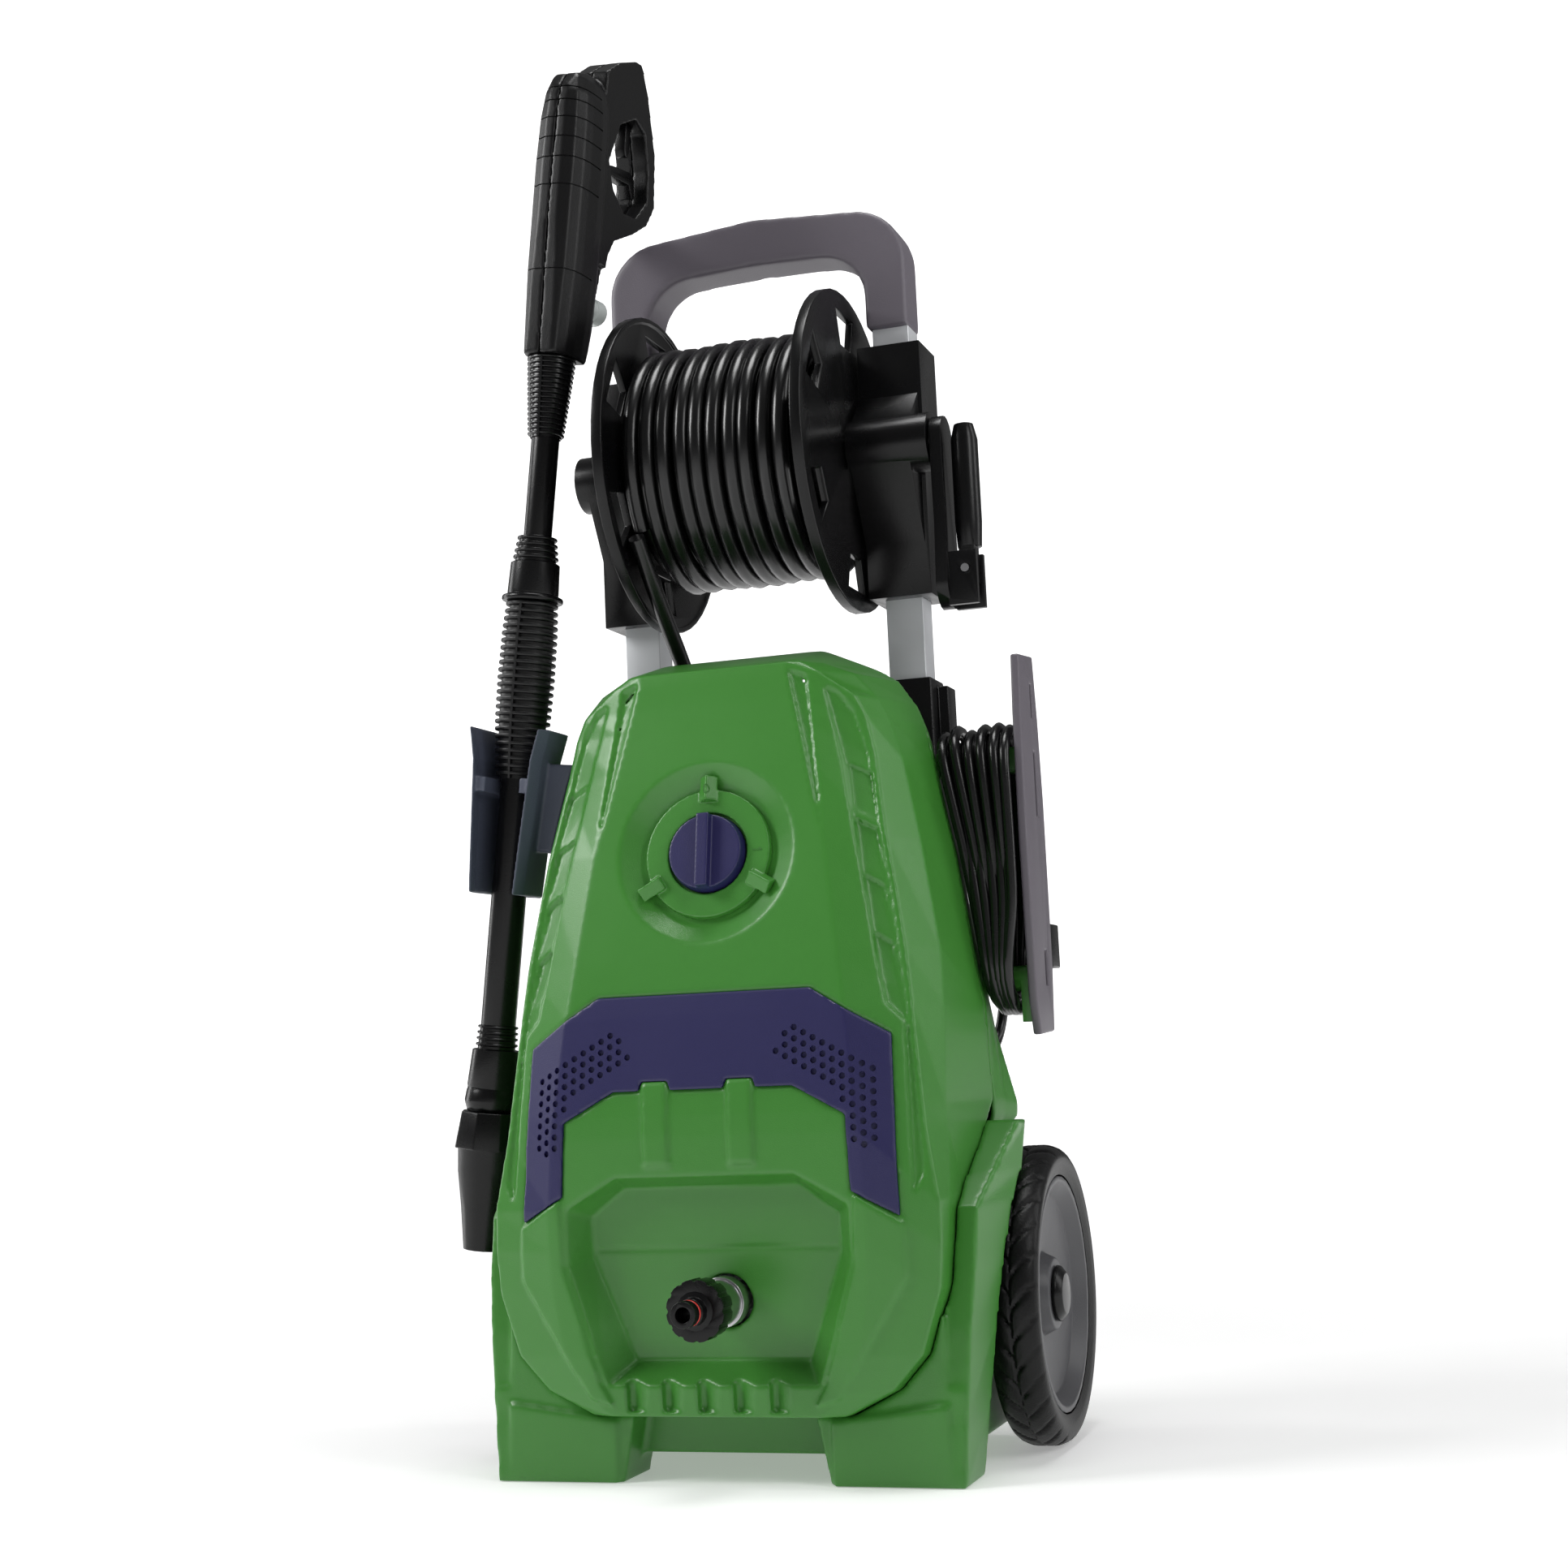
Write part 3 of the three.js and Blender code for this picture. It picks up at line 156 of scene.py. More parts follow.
SLEEVE = material("sleeve_rubber", tint(10, 10, 11), 0.4, bump=0.25, grain=900, specular=0.35)
ALUMINIUM = material("aluminium", tint(214, 216, 219), 0.34, bump=0.08, grain=500, metallic=0.3)
STEEL = material("steel", tint(180, 180, 182), 0.3, bump=0.05, grain=500, metallic=1.0)
BRASS = material("brass", tint(190, 155, 85), 0.3, bump=0.05, grain=500, metallic=1.0)
CLEAR_CAP = material("clear_cap", tint(206, 212, 210), 0.35, bump=0.05, grain=500)
RED_SEAL = material("red_seal", tint(190, 40, 28), 0.35, bump=0.05, grain=500)
# Darker than the green plastic: painted shade on the dial's raised marks, standing in for the shade of an
# engraving.
MARK_PAINTED_SHADE = material("mark_painted_shade", tint(52, 112, 40), 0.45, bump=0.1, grain=1500)

PAINT = {
    "green_plastic": GREEN, "purple_plastic": PURPLE, "black_plastic": BLACK, "grey_plastic": GREY,
    "slate_plastic": SLATE, "rim_plastic": RIM_GREY, "tyre_rubber": TYRE, "soft_rubber": RUBBER,
    "aluminium": ALUMINIUM, "steel": STEEL, "brass": BRASS, "clear_cap": CLEAR_CAP,
}
SLOT_OF = {part["node"]: part["material_slot"] for part in frame["record"]["subparts"]}


# ------------------------------------------------------------------ mesh helpers
SHARP_EDGE = math.radians(40)
TURNED_SHARP_EDGE = math.radians(38)
TYRE_SHARP_EDGE = math.radians(50)
FLAT_WITHIN = math.radians(2)
BEVEL_FROM = math.radians(32)
WELD_WITHIN = 0.00002


def add_object(name, mesh, body, paint, replaces=()):
    """A new piece that rides on the body, in its paint, and stands for the CAD nodes it replaces."""
    piece = bpy.data.objects.new(name, mesh)
    bpy.context.scene.collection.objects.link(piece)
    mesh.materials.clear()
    mesh.materials.append(paint)
    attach(piece, body)
    if replaces:
        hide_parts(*replaces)
    return piece


def apply_modifiers(piece):
    """The piece's mesh becomes what its modifiers make of it."""
    evaluated = piece.evaluated_get(bpy.context.evaluated_depsgraph_get())
    made = bpy.data.meshes.new_from_object(evaluated)
    piece.modifiers.clear()
    old = piece.data
    paints = list(old.materials)
    piece.data = made
    made.materials.clear()
    for paint in paints:
        made.materials.append(paint)
    bpy.data.meshes.remove(old)
    made.name = piece.name
    return piece


def copy_of(node, name, paint=None):
    """A fresh piece with the CAD node's mesh, on the same body, that stands for the node."""
    mesh = NODES[node].data.copy()
    chosen = paint or PAINT[SLOT_OF[node]]
    return add_object(name, mesh, BODY_OF[node], chosen, [node])


def shade(mesh, sharp_from=None):
    """Smooth shading all over, but for edges sharper than the angle where one is given."""
    for face in mesh.polygons:
        face.use_smooth = True
    if sharp_from is not None:
        mesh.set_sharp_from_angle(angle=sharp_from)


def soften(node, voxel, rounds, paint=None, keep=0.4):
    """The CAD node with every edge rounded, as a moulding has: voxels, smoothing, then thinning."""
    piece = copy_of(node, f"{node}_skin", paint)
    remesh = piece.modifiers.new("voxels", "REMESH")
    remesh.mode = "VOXEL"
    remesh.voxel_size = voxel / 1000
    smoothing = piece.modifiers.new("smoothing", "SMOOTH")
    smoothing.factor = 0.5
    smoothing.iterations = rounds
    thin = piece.modifiers.new("thin", "DECIMATE")
    thin.ratio = keep
    apply_modifiers(piece)
    shade(piece.data)
    return piece


def bevelled(node, width):
    """The CAD node with its sharp edges rounded off and its turned faces shaded smooth."""
    piece = copy_of(node, f"{node}_finished")
    weld = piece.modifiers.new("weld", "WELD")
    weld.merge_threshold = WELD_WITHIN
    flatten = piece.modifiers.new("flatten", "DECIMATE")
    flatten.decimate_type = "DISSOLVE"
    flatten.angle_limit = FLAT_WITHIN
    edge = piece.modifiers.new("edge", "BEVEL")
    edge.width = width / 1000
    edge.segments = 3
    edge.limit_method = "ANGLE"
    edge.angle_limit = BEVEL_FROM
    apply_modifiers(piece)
    shade(piece.data, SHARP_EDGE)
    return piece


def loft(made, rings, closed=True):
    """Joins each ring of points to the next, and the last to the first where it is closed."""
    n = len(rings[0])
    for one, two in zip(rings, rings[1:] + rings[:1] if closed else rings[1:]):
        for k in range(n):
            made.faces.new((one[k], one[(k + 1) % n], two[(k + 1) % n], two[k]))


def lathe(name, profile, axis, centre, body, paint, replaces=(), sides=96):
    """A turned piece. The profile is a closed loop of (radius, along) in millimetres."""
    mesh = bpy.data.meshes.new(name)
    made = bmesh.new()
    rings = []
    for i in range(sides):
        t = 2 * math.pi * i / sides
        ring = []
        for r, h in profile:
            a, b = r * math.cos(t), r * math.sin(t)
            place = {"x": (h, a, b), "y": (a, h, b), "z": (a, b, h)}[axis]
            ring.append(made.verts.new(Vector(place) / 1000))
        rings.append(ring)
    loft(made, rings)
    bmesh.ops.remove_doubles(made, verts=made.verts, dist=1e-7)
    bmesh.ops.dissolve_degenerate(made, dist=1e-7, edges=made.edges)
    bmesh.ops.recalc_face_normals(made, faces=made.faces)
    made.to_mesh(mesh)
    made.free()
    mesh.transform(Matrix.Translation(centre))
    shade(mesh, TURNED_SHARP_EDGE)
    return add_object(name, mesh, body, paint, replaces)


# ------------------------------------------------------------------ cords
def curve_through(name, points, radius, body, paint, replaces=(), sides=5):
    """A round tube along the points, in metres, with its radius in millimetres."""
    curve = bpy.data.curves.new(name, "CURVE")
    curve.dimensions = "3D"
    curve.bevel_depth = radius / 1000
    curve.bevel_resolution = sides
    curve.use_fill_caps = True
    spline = curve.splines.new("POLY")
    spline.points.add(len(points) - 1)
    for place, point in zip(spline.points, points):
        place.co = (*point, 1)
    spline.use_smooth = True
    piece = bpy.data.objects.new(name, curve)
    bpy.context.scene.collection.objects.link(piece)
    curve.materials.append(paint)
    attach(piece, body)
    if replaces:
        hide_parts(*replaces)
    return piece


def rounded_path(points, steps=6):
    """A smooth line through the points, with several short steps between each two."""
    line = []
    for i in range(len(points) - 1):
        p0 = points[max(i - 1, 0)]
        p1, p2 = points[i], points[i + 1]
        p3 = points[min(i + 2, len(points) - 1)]
        for k in range(steps):
            t = k / steps
            line.append(0.5 * ((2 * p1) + (p2 - p0) * t + (2 * p0 - 5 * p1 + 4 * p2 - p3) * t * t
                               + (3 * p1 - p0 - 3 * p2 + p3) * t ** 3))
    line.append(points[-1])
    return line


def ease(t):
    """From 0 to 1 with a soft start and a soft end, and held outside them."""
    t = max(0, min(1, t))
    return t * t * (3 - 2 * t)


# The high-pressure hose: two layers on the drum, out to the right flange and back to the left one.
HOSE_R = 5.9
REEL_Y, REEL_Z = 140, 702
LAYER_RADII = (72.5, 84.0)
HALF_WIND = 62
TURNS = 10
TAIL = [(-62.5, 66, 640), (-62, 79, 624.7), (-61, 95, 605.5), (-59.5, 114.4, 582.5), (-58, 131, 563),
        (-57, 148, 542), (-56.5, 162, 519), (-56, 171, 496), (-56, 176, 472), (-56, 177, 446.4)]
LEAVES_AT = math.atan2(TAIL[0][2] - REEL_Z, TAIL[0][1] - REEL_Y)


WIND_STEPS = 40


def wound_hose():
    """Centreline on the drum. It ends where the tail leaves, at the left end of the outer layer."""
    line = []
    for i in range(2 * TURNS * WIND_STEPS + 1):
        turn = i / WIND_STEPS
        angle = 2 * math.pi * turn
        share = turn / TURNS
        in_layer = share % 1
        ends = ease(min(6 * in_layer, 6 * (1 - in_layer)))
        across = HALF_WIND * (2 * share - 1 if share < 1 else 3 - 2 * share)
        across += ends * (0.9 * math.sin(angle * 0.37) + 0.4 * math.sin(angle * 0.83))
        radius = LAYER_RADII[0] + (LAYER_RADII[1] - LAYER_RADII[0]) * ease(turn - TURNS + 0.5)
        radius += ends * 0.6 * math.sin(angle * 0.21 + 1) * ease(turn - TURNS)
        t = LEAVES_AT + angle
        line.append(at(across, REEL_Y + radius * math.cos(t), REEL_Z + radius * math.sin(t)))
    return line


wound = wound_hose()
hose = curve_through("wound_hose", wound, HOSE_R, "reel", RUBBER, ["hose_coil"])
tail_line = rounded_path([at(*p) for p in reversed(TAIL)])
tail = curve_through("hose_tail_line", tail_line, HOSE_R, "machine", RUBBER, ["hose_tail"])

# The mains cable: out of its gland, up into the hank on the right, and over in an arch to the plug.
CABLE_R = 3.75
GLAND = (141, 190, 268)
HANK_Y, HANK_TOP, HANK_LOW = 146, 497, 291
FOLD_RADII = (29.0, 23.2)
HIGH_CENTRE = HANK_TOP - CABLE_R - FOLD_RADII[0]
LOW_CENTRE = HANK_LOW + CABLE_R + FOLD_RADII[0]
LONG_TURNS = 11
BEND = 30
LEAD_X = 155
LEAD_TURN = 160
BACK_Y = 181.4
PLUG = (171, 380)
ARCH_Z = 392
ARCH_X = 176
HANK_STEPS = 44
HANK_BEGIN = 0.19
SHARE_OF_SHIFT = 0.3
STRAND_GAP = 0.8
INNERMOST_X = 133.4
PLATE_SIDE_X, PLATE_SIDE_SPREAD = 176.3, 5.4
SPREAD_FROM, SPREAD_OVER = 318, 60
LEAD_RISE = 55
LEAD_STEPS = 9
HOUSING_SIDE = ((291, 159.3), (337, 153), (411, 143), (466, 133), (495, 127.5), (510, 122))


def between(table, z):
    """The table's value at z, on straight lines between its rows and held outside them."""
    for (z0, v0), (z1, v1) in zip(table, table[1:]):
        if z <= z1:
            return v0 + (v1 - v0) * max(0, z - z0) / (z1 - z0)
    return table[-1][1]


def strand_x(share, z):
    """A strand's place between the housing's side and the wing plate, at a height."""
    left = max(between(HOUSING_SIDE, z) + CABLE_R + STRAND_GAP, INNERMOST_X)
    right_side = PLATE_SIDE_X + PLATE_SIDE_SPREAD * ease((z - SPREAD_FROM) / SPREAD_OVER)
    return left + (right_side - left) * max(0, min(1, share))


def around(share, radius, low, high):
    """A place on a long turn: up its back, over its top fold, down its front, round its low fold."""
    run = high - low
    fold = math.pi * radius
    d = share * 2 * (run + fold)
    if d < run:
        return radius, low + d
    d -= run
    if d < fold:
        return radius * math.cos(d / radius), high + radius * math.sin(d / radius)
    d -= fold
    if d < run:
        return -radius, high - d
    d -= run
    return -radius * math.cos(d / radius), low - radius * math.sin(d / radius)


def lead_in():
    """From the gland round and up behind the hank, then forward against its back."""
    y, z = GLAND[1] + 4, GLAND[2]
    last = math.radians(LEAD_TURN)
    path = [(GLAND[1] - 6, z), (GLAND[1] + 0.6, z)]
    for degrees in range(0, LEAD_TURN + 1, 10):
        t = math.radians(degrees)
        path.append((y + BEND * math.sin(t), z + BEND * (1 - math.cos(t))))
    y, z = path[-1]
    for k in range(1, LEAD_STEPS):
        t = math.radians(LEAD_TURN - 70 * k / 8)
        path.append((y + BEND * (math.sin(last) - math.sin(t)),
                     z + BEND * (math.cos(t) - math.cos(last))))
    n = len(path) - 1
    points = [(GLAND[0] + (LEAD_X - GLAND[0]) * ease(i / n), y, z) for i, (y, z) in enumerate(path)]
    _, start_y, start_z = points[-1]
    strand_y = HANK_Y + FOLD_RADII[0]
    for k in range(1, LEAD_STEPS):
        z = start_z + LEAD_RISE * k / LEAD_STEPS
        share = ease(k / LEAD_STEPS)
        points.append((LEAD_X + (strand_x(0, z) - LEAD_X) * share,
                       start_y + (strand_y - start_y) * share, z))
    return points


def hank():
    """Long turns side by side. Each changes between the inner and outer radius on its way down."""
    rng = random.Random(4)
    folds = [(rng.uniform(-5, 0), rng.uniform(0, 5), rng.uniform(-1.4, 1.4))
             for _ in range(LONG_TURNS + 1)]
    line = []
    for n in range(LONG_TURNS):
        high = HIGH_CENTRE + folds[n][0]
        for i in range(HANK_STEPS):
            share = i / HANK_STEPS
            if n == 0 and share < HANK_BEGIN:
                continue
            part = ease((share - 0.5) / SHARE_OF_SHIFT)
            odd = n % 2
            radius = FOLD_RADII[odd] + (FOLD_RADII[1 - odd] - FOLD_RADII[odd]) * part
            if n == LONG_TURNS - 1:
                radius = FOLD_RADII[0]
            low = LOW_CENTRE + folds[n][1] + (folds[n + 1][1] - folds[n][1]) * part
            y, z = around(share, radius, low, high)
            x = strand_x((n + share) / (LONG_TURNS - 1), z)
            rise = (z - HANK_LOW) / (HANK_TOP - HANK_LOW)
            line.append((x + folds[n][2] * math.sin(math.pi * rise) ** 2 * math.sin(math.pi * share),
                         HANK_Y + y, z))
    return line


def lead_out(low):
    """Up out of the hank's back, over in an arch, and down to the plug."""
    strand_y = HANK_Y + FOLD_RADII[0]
    points = []
    top = ARCH_Z - 12
    for k in range(11):
        z = low + (top - low) * k / 10
        share = ease((z - low - 4) / (top - low - 8))
        points.append((strand_x(1, z) + (ARCH_X - strand_x(1, z)) * share,
                       strand_y + (BACK_Y - strand_y) * share, z))
    for degrees in range(0, 181, 12):
        t = math.radians(degrees)
        x = ARCH_X + (PLUG[0] - ARCH_X) * degrees / 180
        points.append((x, BACK_Y + BEND * (1 - math.cos(t)), ARCH_Z + BEND * math.sin(t)))
    return points + [(PLUG[0], BACK_Y + 2 * BEND, PLUG[1] + 4),
                     (PLUG[0], BACK_Y + 2 * BEND, PLUG[1] - 6)]


cable_line = [at(*p) for p in lead_in() + hank() + lead_out(LOW_CENTRE)]
cable = curve_through("mains_cable", cable_line, CABLE_R, "machine", RUBBER,
                      ["cable_coil", "cable_lead", "plug_lead"], 4)
plug = bevelled("mains_plug", 1.5)

# ------------------------------------------------------------------ mouldings
def take_out(piece, cutter):
    """Takes the cutter's shape out of the piece, and removes the cutter."""
    hollow = piece.modifiers.new("hollow", "BOOLEAN")
    hollow.object = cutter
    hollow.operation = "DIFFERENCE"
    hollow.solver = "EXACT"
    apply_modifiers(piece)
    bpy.data.objects.remove(cutter)


def cut_by(piece, cutter):
    take_out(piece, cutter)
    shade(piece.data, SHARP_EDGE)


def loose_object(name, made):
    """An object from a bmesh that isn't yet a piece: a cutter, a mark or part of the stage."""
    mesh = bpy.data.meshes.new(name)
    bmesh.ops.recalc_face_normals(made, faces=made.faces)
    made.to_mesh(mesh)
    made.free()
    piece = bpy.data.objects.new(name, mesh)
    bpy.context.scene.collection.objects.link(piece)
    return piece


def add_round(made, centre, direction, radius, depth, sides=16):
    turned = Vector(direction).to_track_quat("Z", "Y").to_matrix().to_4x4()
    bmesh.ops.create_cone(made, cap_ends=True, segments=sides, radius1=radius, radius2=radius,
                          depth=depth, matrix=Matrix.Translation(centre) @ turned)


def add_block(made, centre, size, turned=Matrix.Identity(4)):
    placed = Matrix.Translation(centre) @ turned @ Matrix.Diagonal((*size, 1))
    bmesh.ops.create_cube(made, size=1, matrix=placed)


soften("front_cover", 1.5, 4, keep=0.35)
soften("base_chassis", 1.8, 5, keep=0.35)
soften("rear_cover", 1.8, 5, keep=0.35)
band = soften("vent_band", 1.0, 3, keep=0.5)
ring = soften("dial_ring", 0.7, 3, keep=0.4)
soften("on_off_knob", 0.7, 3, keep=0.4)
soften("push_handle", 1.6, 22, keep=0.4)
soften("lance_holder", 1.1, 4, SLATE, keep=0.5)

# Blind round holes in the band, in slanting rows over its shoulders and down its two ends.
VENT_FIELD = [(63, 293), (80, 288), (113, 266), (120, 252), (120, 222), (113.5, 208), (103, 217), (99, 240),
              (90, 247), (50, 269), (50, 276)]
VENT_PITCH = 7.3
VENT_ROW_RATIO = 0.86
VENT_START = (64, 289.5)
VENT_RADIUS, VENT_LENGTH = 0.0021, 0.0044
VENT_SLOPE = math.radians(-29)


def inside(outline, x, z):
    """Whether a ray from the point crosses the outline an odd number of times."""
    crossings = 0
    for (x0, z0), (x1, z1) in zip(outline, outline[1:] + outline[:1]):
        if (z0 > z) != (z1 > z) and x < x0 + (x1 - x0) * (z - z0) / (z1 - z0):
            crossings += 1
    return crossings % 2 == 1


def vent_holes():
    """One cutter with a short rod for each hole, square to the band's face."""
    made = bmesh.new()
    along = Vector((math.cos(VENT_SLOPE), math.sin(VENT_SLOPE)))
    across = Vector((math.sin(VENT_SLOPE), -math.cos(VENT_SLOPE)))
    for side in (1, -1):
        for row in range(-4, 16):
            for column in range(-6, 18):
                step = column + (row % 2) / 2
                spot = Vector(VENT_START) + along * step * VENT_PITCH
                spot += across * row * VENT_PITCH * VENT_ROW_RATIO
                if not inside(VENT_FIELD, spot.x, spot.y):
                    continue
                start = at(side * spot.x, -80, spot.y)
                found, place, normal, _ = band.ray_cast(start, Vector((0, 1, 0)))
                if found:
                    add_round(made, place, normal, VENT_RADIUS, VENT_LENGTH)
    return loose_object("vent_cutter", made)


cut_by(band, vent_holes())

# The dial's marks: a nought on the top clip and a one beside the ring's right edge. They are raised strokes
# in a darker green than the dial: painted shade, as if they were engraved.
DIAL_TILT = math.atan(0.2)
DIAL_X, DIAL_Y, DIAL_Z = -1, 14.6, 409
MARK_WIDTH, MARK_HEIGHT, MARK_OVERLAP = 0.0009, 0.0007, 0.0006


def dial_place(right_by, up_by, out):
    """A point on the leaning dial: across it, up it and out of it, in millimetres from its middle."""
    return at(DIAL_X + right_by, DIAL_Y + up_by * math.sin(DIAL_TILT) - out * math.cos(DIAL_TILT),
              DIAL_Z + up_by * math.cos(DIAL_TILT) + out * math.sin(DIAL_TILT))


def dial_mark(name, right_by, up_by, strokes):
    """Raised strokes of a numeral on the dial, each (from, to) in millimetres about its middle."""
    made = bmesh.new()
    inward = (dial_place(0, 0, 0) - dial_place(0, 0, 1)).normalized()
    for (x0, z0), (x1, z1) in strokes:
        ends = []
        for x, z in ((x0, z0), (x1, z1)):
            start = dial_place(right_by + x, up_by + z, 14)
            found, place, _, _ = ring.ray_cast(start, inward)
            ends.append(place if found else dial_place(right_by + x, up_by + z, -4))
        line = ends[1] - ends[0]
        facing = line.to_track_quat("X", "Z").to_matrix().to_4x4()
        size = (line.length + MARK_OVERLAP, MARK_WIDTH, MARK_HEIGHT)
        add_block(made, (ends[0] + ends[1]) / 2, size, facing)
    piece = loose_object(name, made)
    piece.data.materials.append(MARK_PAINTED_SHADE)
    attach(piece, "machine")
    return piece


oval = [(1.9 * math.sin(2 * math.pi * i / 12), 2.9 * math.cos(2 * math.pi * i / 12)) for i in range(13)]
dial_mark("mark_nought", 0, 43.5, list(zip(oval, oval[1:])))
dial_mark("mark_one", 35.5, 0, [((-3, 0), (3, 0)), ((3, 0), (1.6, 1.2))])

# ------------------------------------------------------------------ gun and lance
LEAN = math.atan(0.1231)
LANCE_TIP = at(-203, 70, 145)
LANCE_TURN = Matrix.Rotation(LEAN, 4, "Y")
GUN_TURN = LANCE_TURN @ Matrix.Rotation(-math.radians(5), 4, "Z")
GRIP_LINES = (836.6, 826.3, 813.1, 798.5, 783.5)
JOINT_LINES = (763, 701)
GROOVE_SLAB = (0.06, 0.041, 0.0011)
SLAB_MIDDLE_Y = -0.0075
CORE_SCALE = Matrix.Diagonal((0.955, 0.955, 1, 1))


def grip_grooves(shell):
    """Shallow lines across the front of the gun's trunk: slabs less a slightly smaller copy of the shell."""
    made = bmesh.new()
    for s in GRIP_LINES + JOINT_LINES:
        add_block(made, (0, SLAB_MIDDLE_Y, s / 1000), GROOVE_SLAB)
    to_gun = Matrix.Translation(LANCE_TIP) @ GUN_TURN
    cutter = loose_object("groove_cutter", made)
    cutter.data.transform(to_gun)
    core = bpy.data.objects.new("groove_core", shell.data.copy())
    bpy.context.scene.collection.objects.link(core)
    core.data.transform(to_gun @ CORE_SCALE @ to_gun.inverted())
    take_out(cutter, core)
    cut_by(shell, cutter)


for node in ("gun_right_shell", "gun_left_shell"):
    grip_grooves(soften(node, 1.1, 6, SATIN_BLACK, keep=0.5))


def ribbed(bottom, top, envelope, pitch, depth):
    """The outer side of a ribbed sleeve, upwards."""
    count = round((top - bottom) / pitch)
    step = (top - bottom) / count
    side = []
    for i in range(count):
        s = bottom + i * step
        r = envelope(s + 0.7 * step)
        side += [(r - depth, s), (r - depth, s + 0.44 * step), (r - 0.4, s + 0.52 * step),
                 (r, s + 0.64 * step), (r, s + 0.84 * step), (r - 0.4, s + 0.95 * step)]
    return side


FIN_HALF_WIDTH = 0.8
FIN_ROOT = 0.6
FIN_STEPS = 10
SLEEVE_SIDES = 72


def add_fins(mesh, low_end, high_end, envelope, depth):
    """A thin fin along the sleeve's front and its back, as high as the ribs."""
    made = bmesh.new()
    made.from_mesh(mesh)
    for side_sign in (-1, 1):
        rows = []
        for i in range(FIN_STEPS + 1):
            s = low_end + (high_end - low_end) * i / FIN_STEPS
            r = envelope(s)
            root = r - depth - FIN_ROOT
            corners = ((-FIN_HALF_WIDTH, root), (FIN_HALF_WIDTH, root), (FIN_HALF_WIDTH, r),
                       (-FIN_HALF_WIDTH, r))
            rows.append([made.verts.new(Vector((x, side_sign * y, s)) / 1000) for x, y in corners])
        loft(made, rows, closed=False)
        made.faces.new(rows[0])
        made.faces.new(rows[-1])
    bmesh.ops.recalc_face_normals(made, faces=made.faces)
    made.to_mesh(mesh)
    made.free()
    shade(mesh, TURNED_SHARP_EDGE)


def sleeve(name, node, inner, side, body, paint, fins=None):
    """A turned sleeve on the lance: its outer side upwards, and fins where they are stated."""
    bottom, top = side[0][1], side[-1][1]
    profile = [(inner, bottom)] + side + [(inner, top)]
    piece = lathe(name, profile, "z", Vector(), body, paint, [node], SLEEVE_SIDES)
    if fins:
        add_fins(piece.data, *fins)
    piece.data.transform(Matrix.Translation(LANCE_TIP) @ LANCE_TURN)
    return piece


def guard_radius(s):
    return 13 + 4.8 * ((s - 581) / 58.4) ** 0.9


def grip_radius(s):
    return between(((333, 15.6), (350, 18), (375, 20), (405, 20.6), (440, 20), (461, 18.6)), s)


def collar_radius(s):
    return 16.8 - 0.14 * (s - 490)


def coupling_radius(s):
    return 15 - 0.05 * (s - 141)


COLLAR_SIDE = [(18.6, 461), (21.4, 461.4), (22, 462.4), (22, 464), (21.4, 465), (18.2, 466.4),
               (18.4, 468), (17.6, 489), (16, 490)]
COUPLING_SIDE = [(17, 97.4), (17.5, 98), (19.4, 103.6), (19.5, 105), (18.7, 112), (18.2, 113),
                 (18.2, 114.4), (18.6, 115.4), (16.8, 140.4), (15.4, 141)]

sleeve("ribbed_bend_guard", "bend_guard", 10.6, ribbed(581, 639.4, guard_radius, 3.65, 1.9), "gun",
       RUBBER, (581, 639, guard_radius, 1.9))
sleeve("ribbed_grip", "grip_sleeve", 12.9, ribbed(333, 460.4, grip_radius, 5.3, 3.0), "lance",
       SLEEVE, (333, 460, grip_radius, 3.0))
sleeve("stepped_collar", "lance_collar", 10.6,
       COLLAR_SIDE + ribbed(490, 508.6, collar_radius, 4.65, 1.7), "lance", BLACK)
sleeve("ringed_coupling", "nozzle_coupling", 11.5,
       COUPLING_SIDE + ribbed(141.2, 157.8, coupling_radius, 4.15, 1.5), "lance", BLACK)

# The red ring in the inlet's groove.
SEAL_RADIUS, SEAL_THICK, SEAL_Y = 7.1, 1.15, -63.75
lathe("inlet_seal", [(SEAL_RADIUS + SEAL_THICK * math.cos(t), SEAL_Y + SEAL_THICK * math.sin(t))
                     for t in (2 * math.pi * i / 12 for i in range(12))],
      "y", at(5, 0, 115.5), "machine", RED_SEAL)

# ------------------------------------------------------------------ wheels
WHEEL_Y, WHEEL_Z, TYRE_R, RIM_R = 165, 101, 101, 80
TYRE_IN, TYRE_OUT = 160, 195.5
HALF_TYRE = (TYRE_OUT - TYRE_IN) / 2
LUGS = 30
TYRE_STEPS = 480
GROOVE_DEPTH, GROOVE_WIDTH, GROOVE_SLANT = 2.0, 0.13, 0.9
MIDDLE_DEPTH, MIDDLE_WIDTH = 1.4, 1.3
SHOULDER_FROM = 95


def tread_depth(r, u, t):
    """How deep the tread is cut at a radius, a place across the tyre and an angle round it."""
    wide = abs(u) / HALF_TYRE
    phase = (LUGS * t / (2 * math.pi) + GROOVE_SLANT * wide + (0.5 if u < 0 else 0)) % 1
    gap = min(phase, 1 - phase)
    across = GROOVE_DEPTH * ease(1 - gap / GROOVE_WIDTH) * ease((r - SHOULDER_FROM) / 3)
    zigzag = abs((LUGS * t / (2 * math.pi)) % 1 - 0.5) * 3 - 0.75
    middle = MIDDLE_DEPTH * ease(1 - abs(u - zigzag) / MIDDLE_WIDTH)
    return max(across * ease(wide / 0.12), middle)


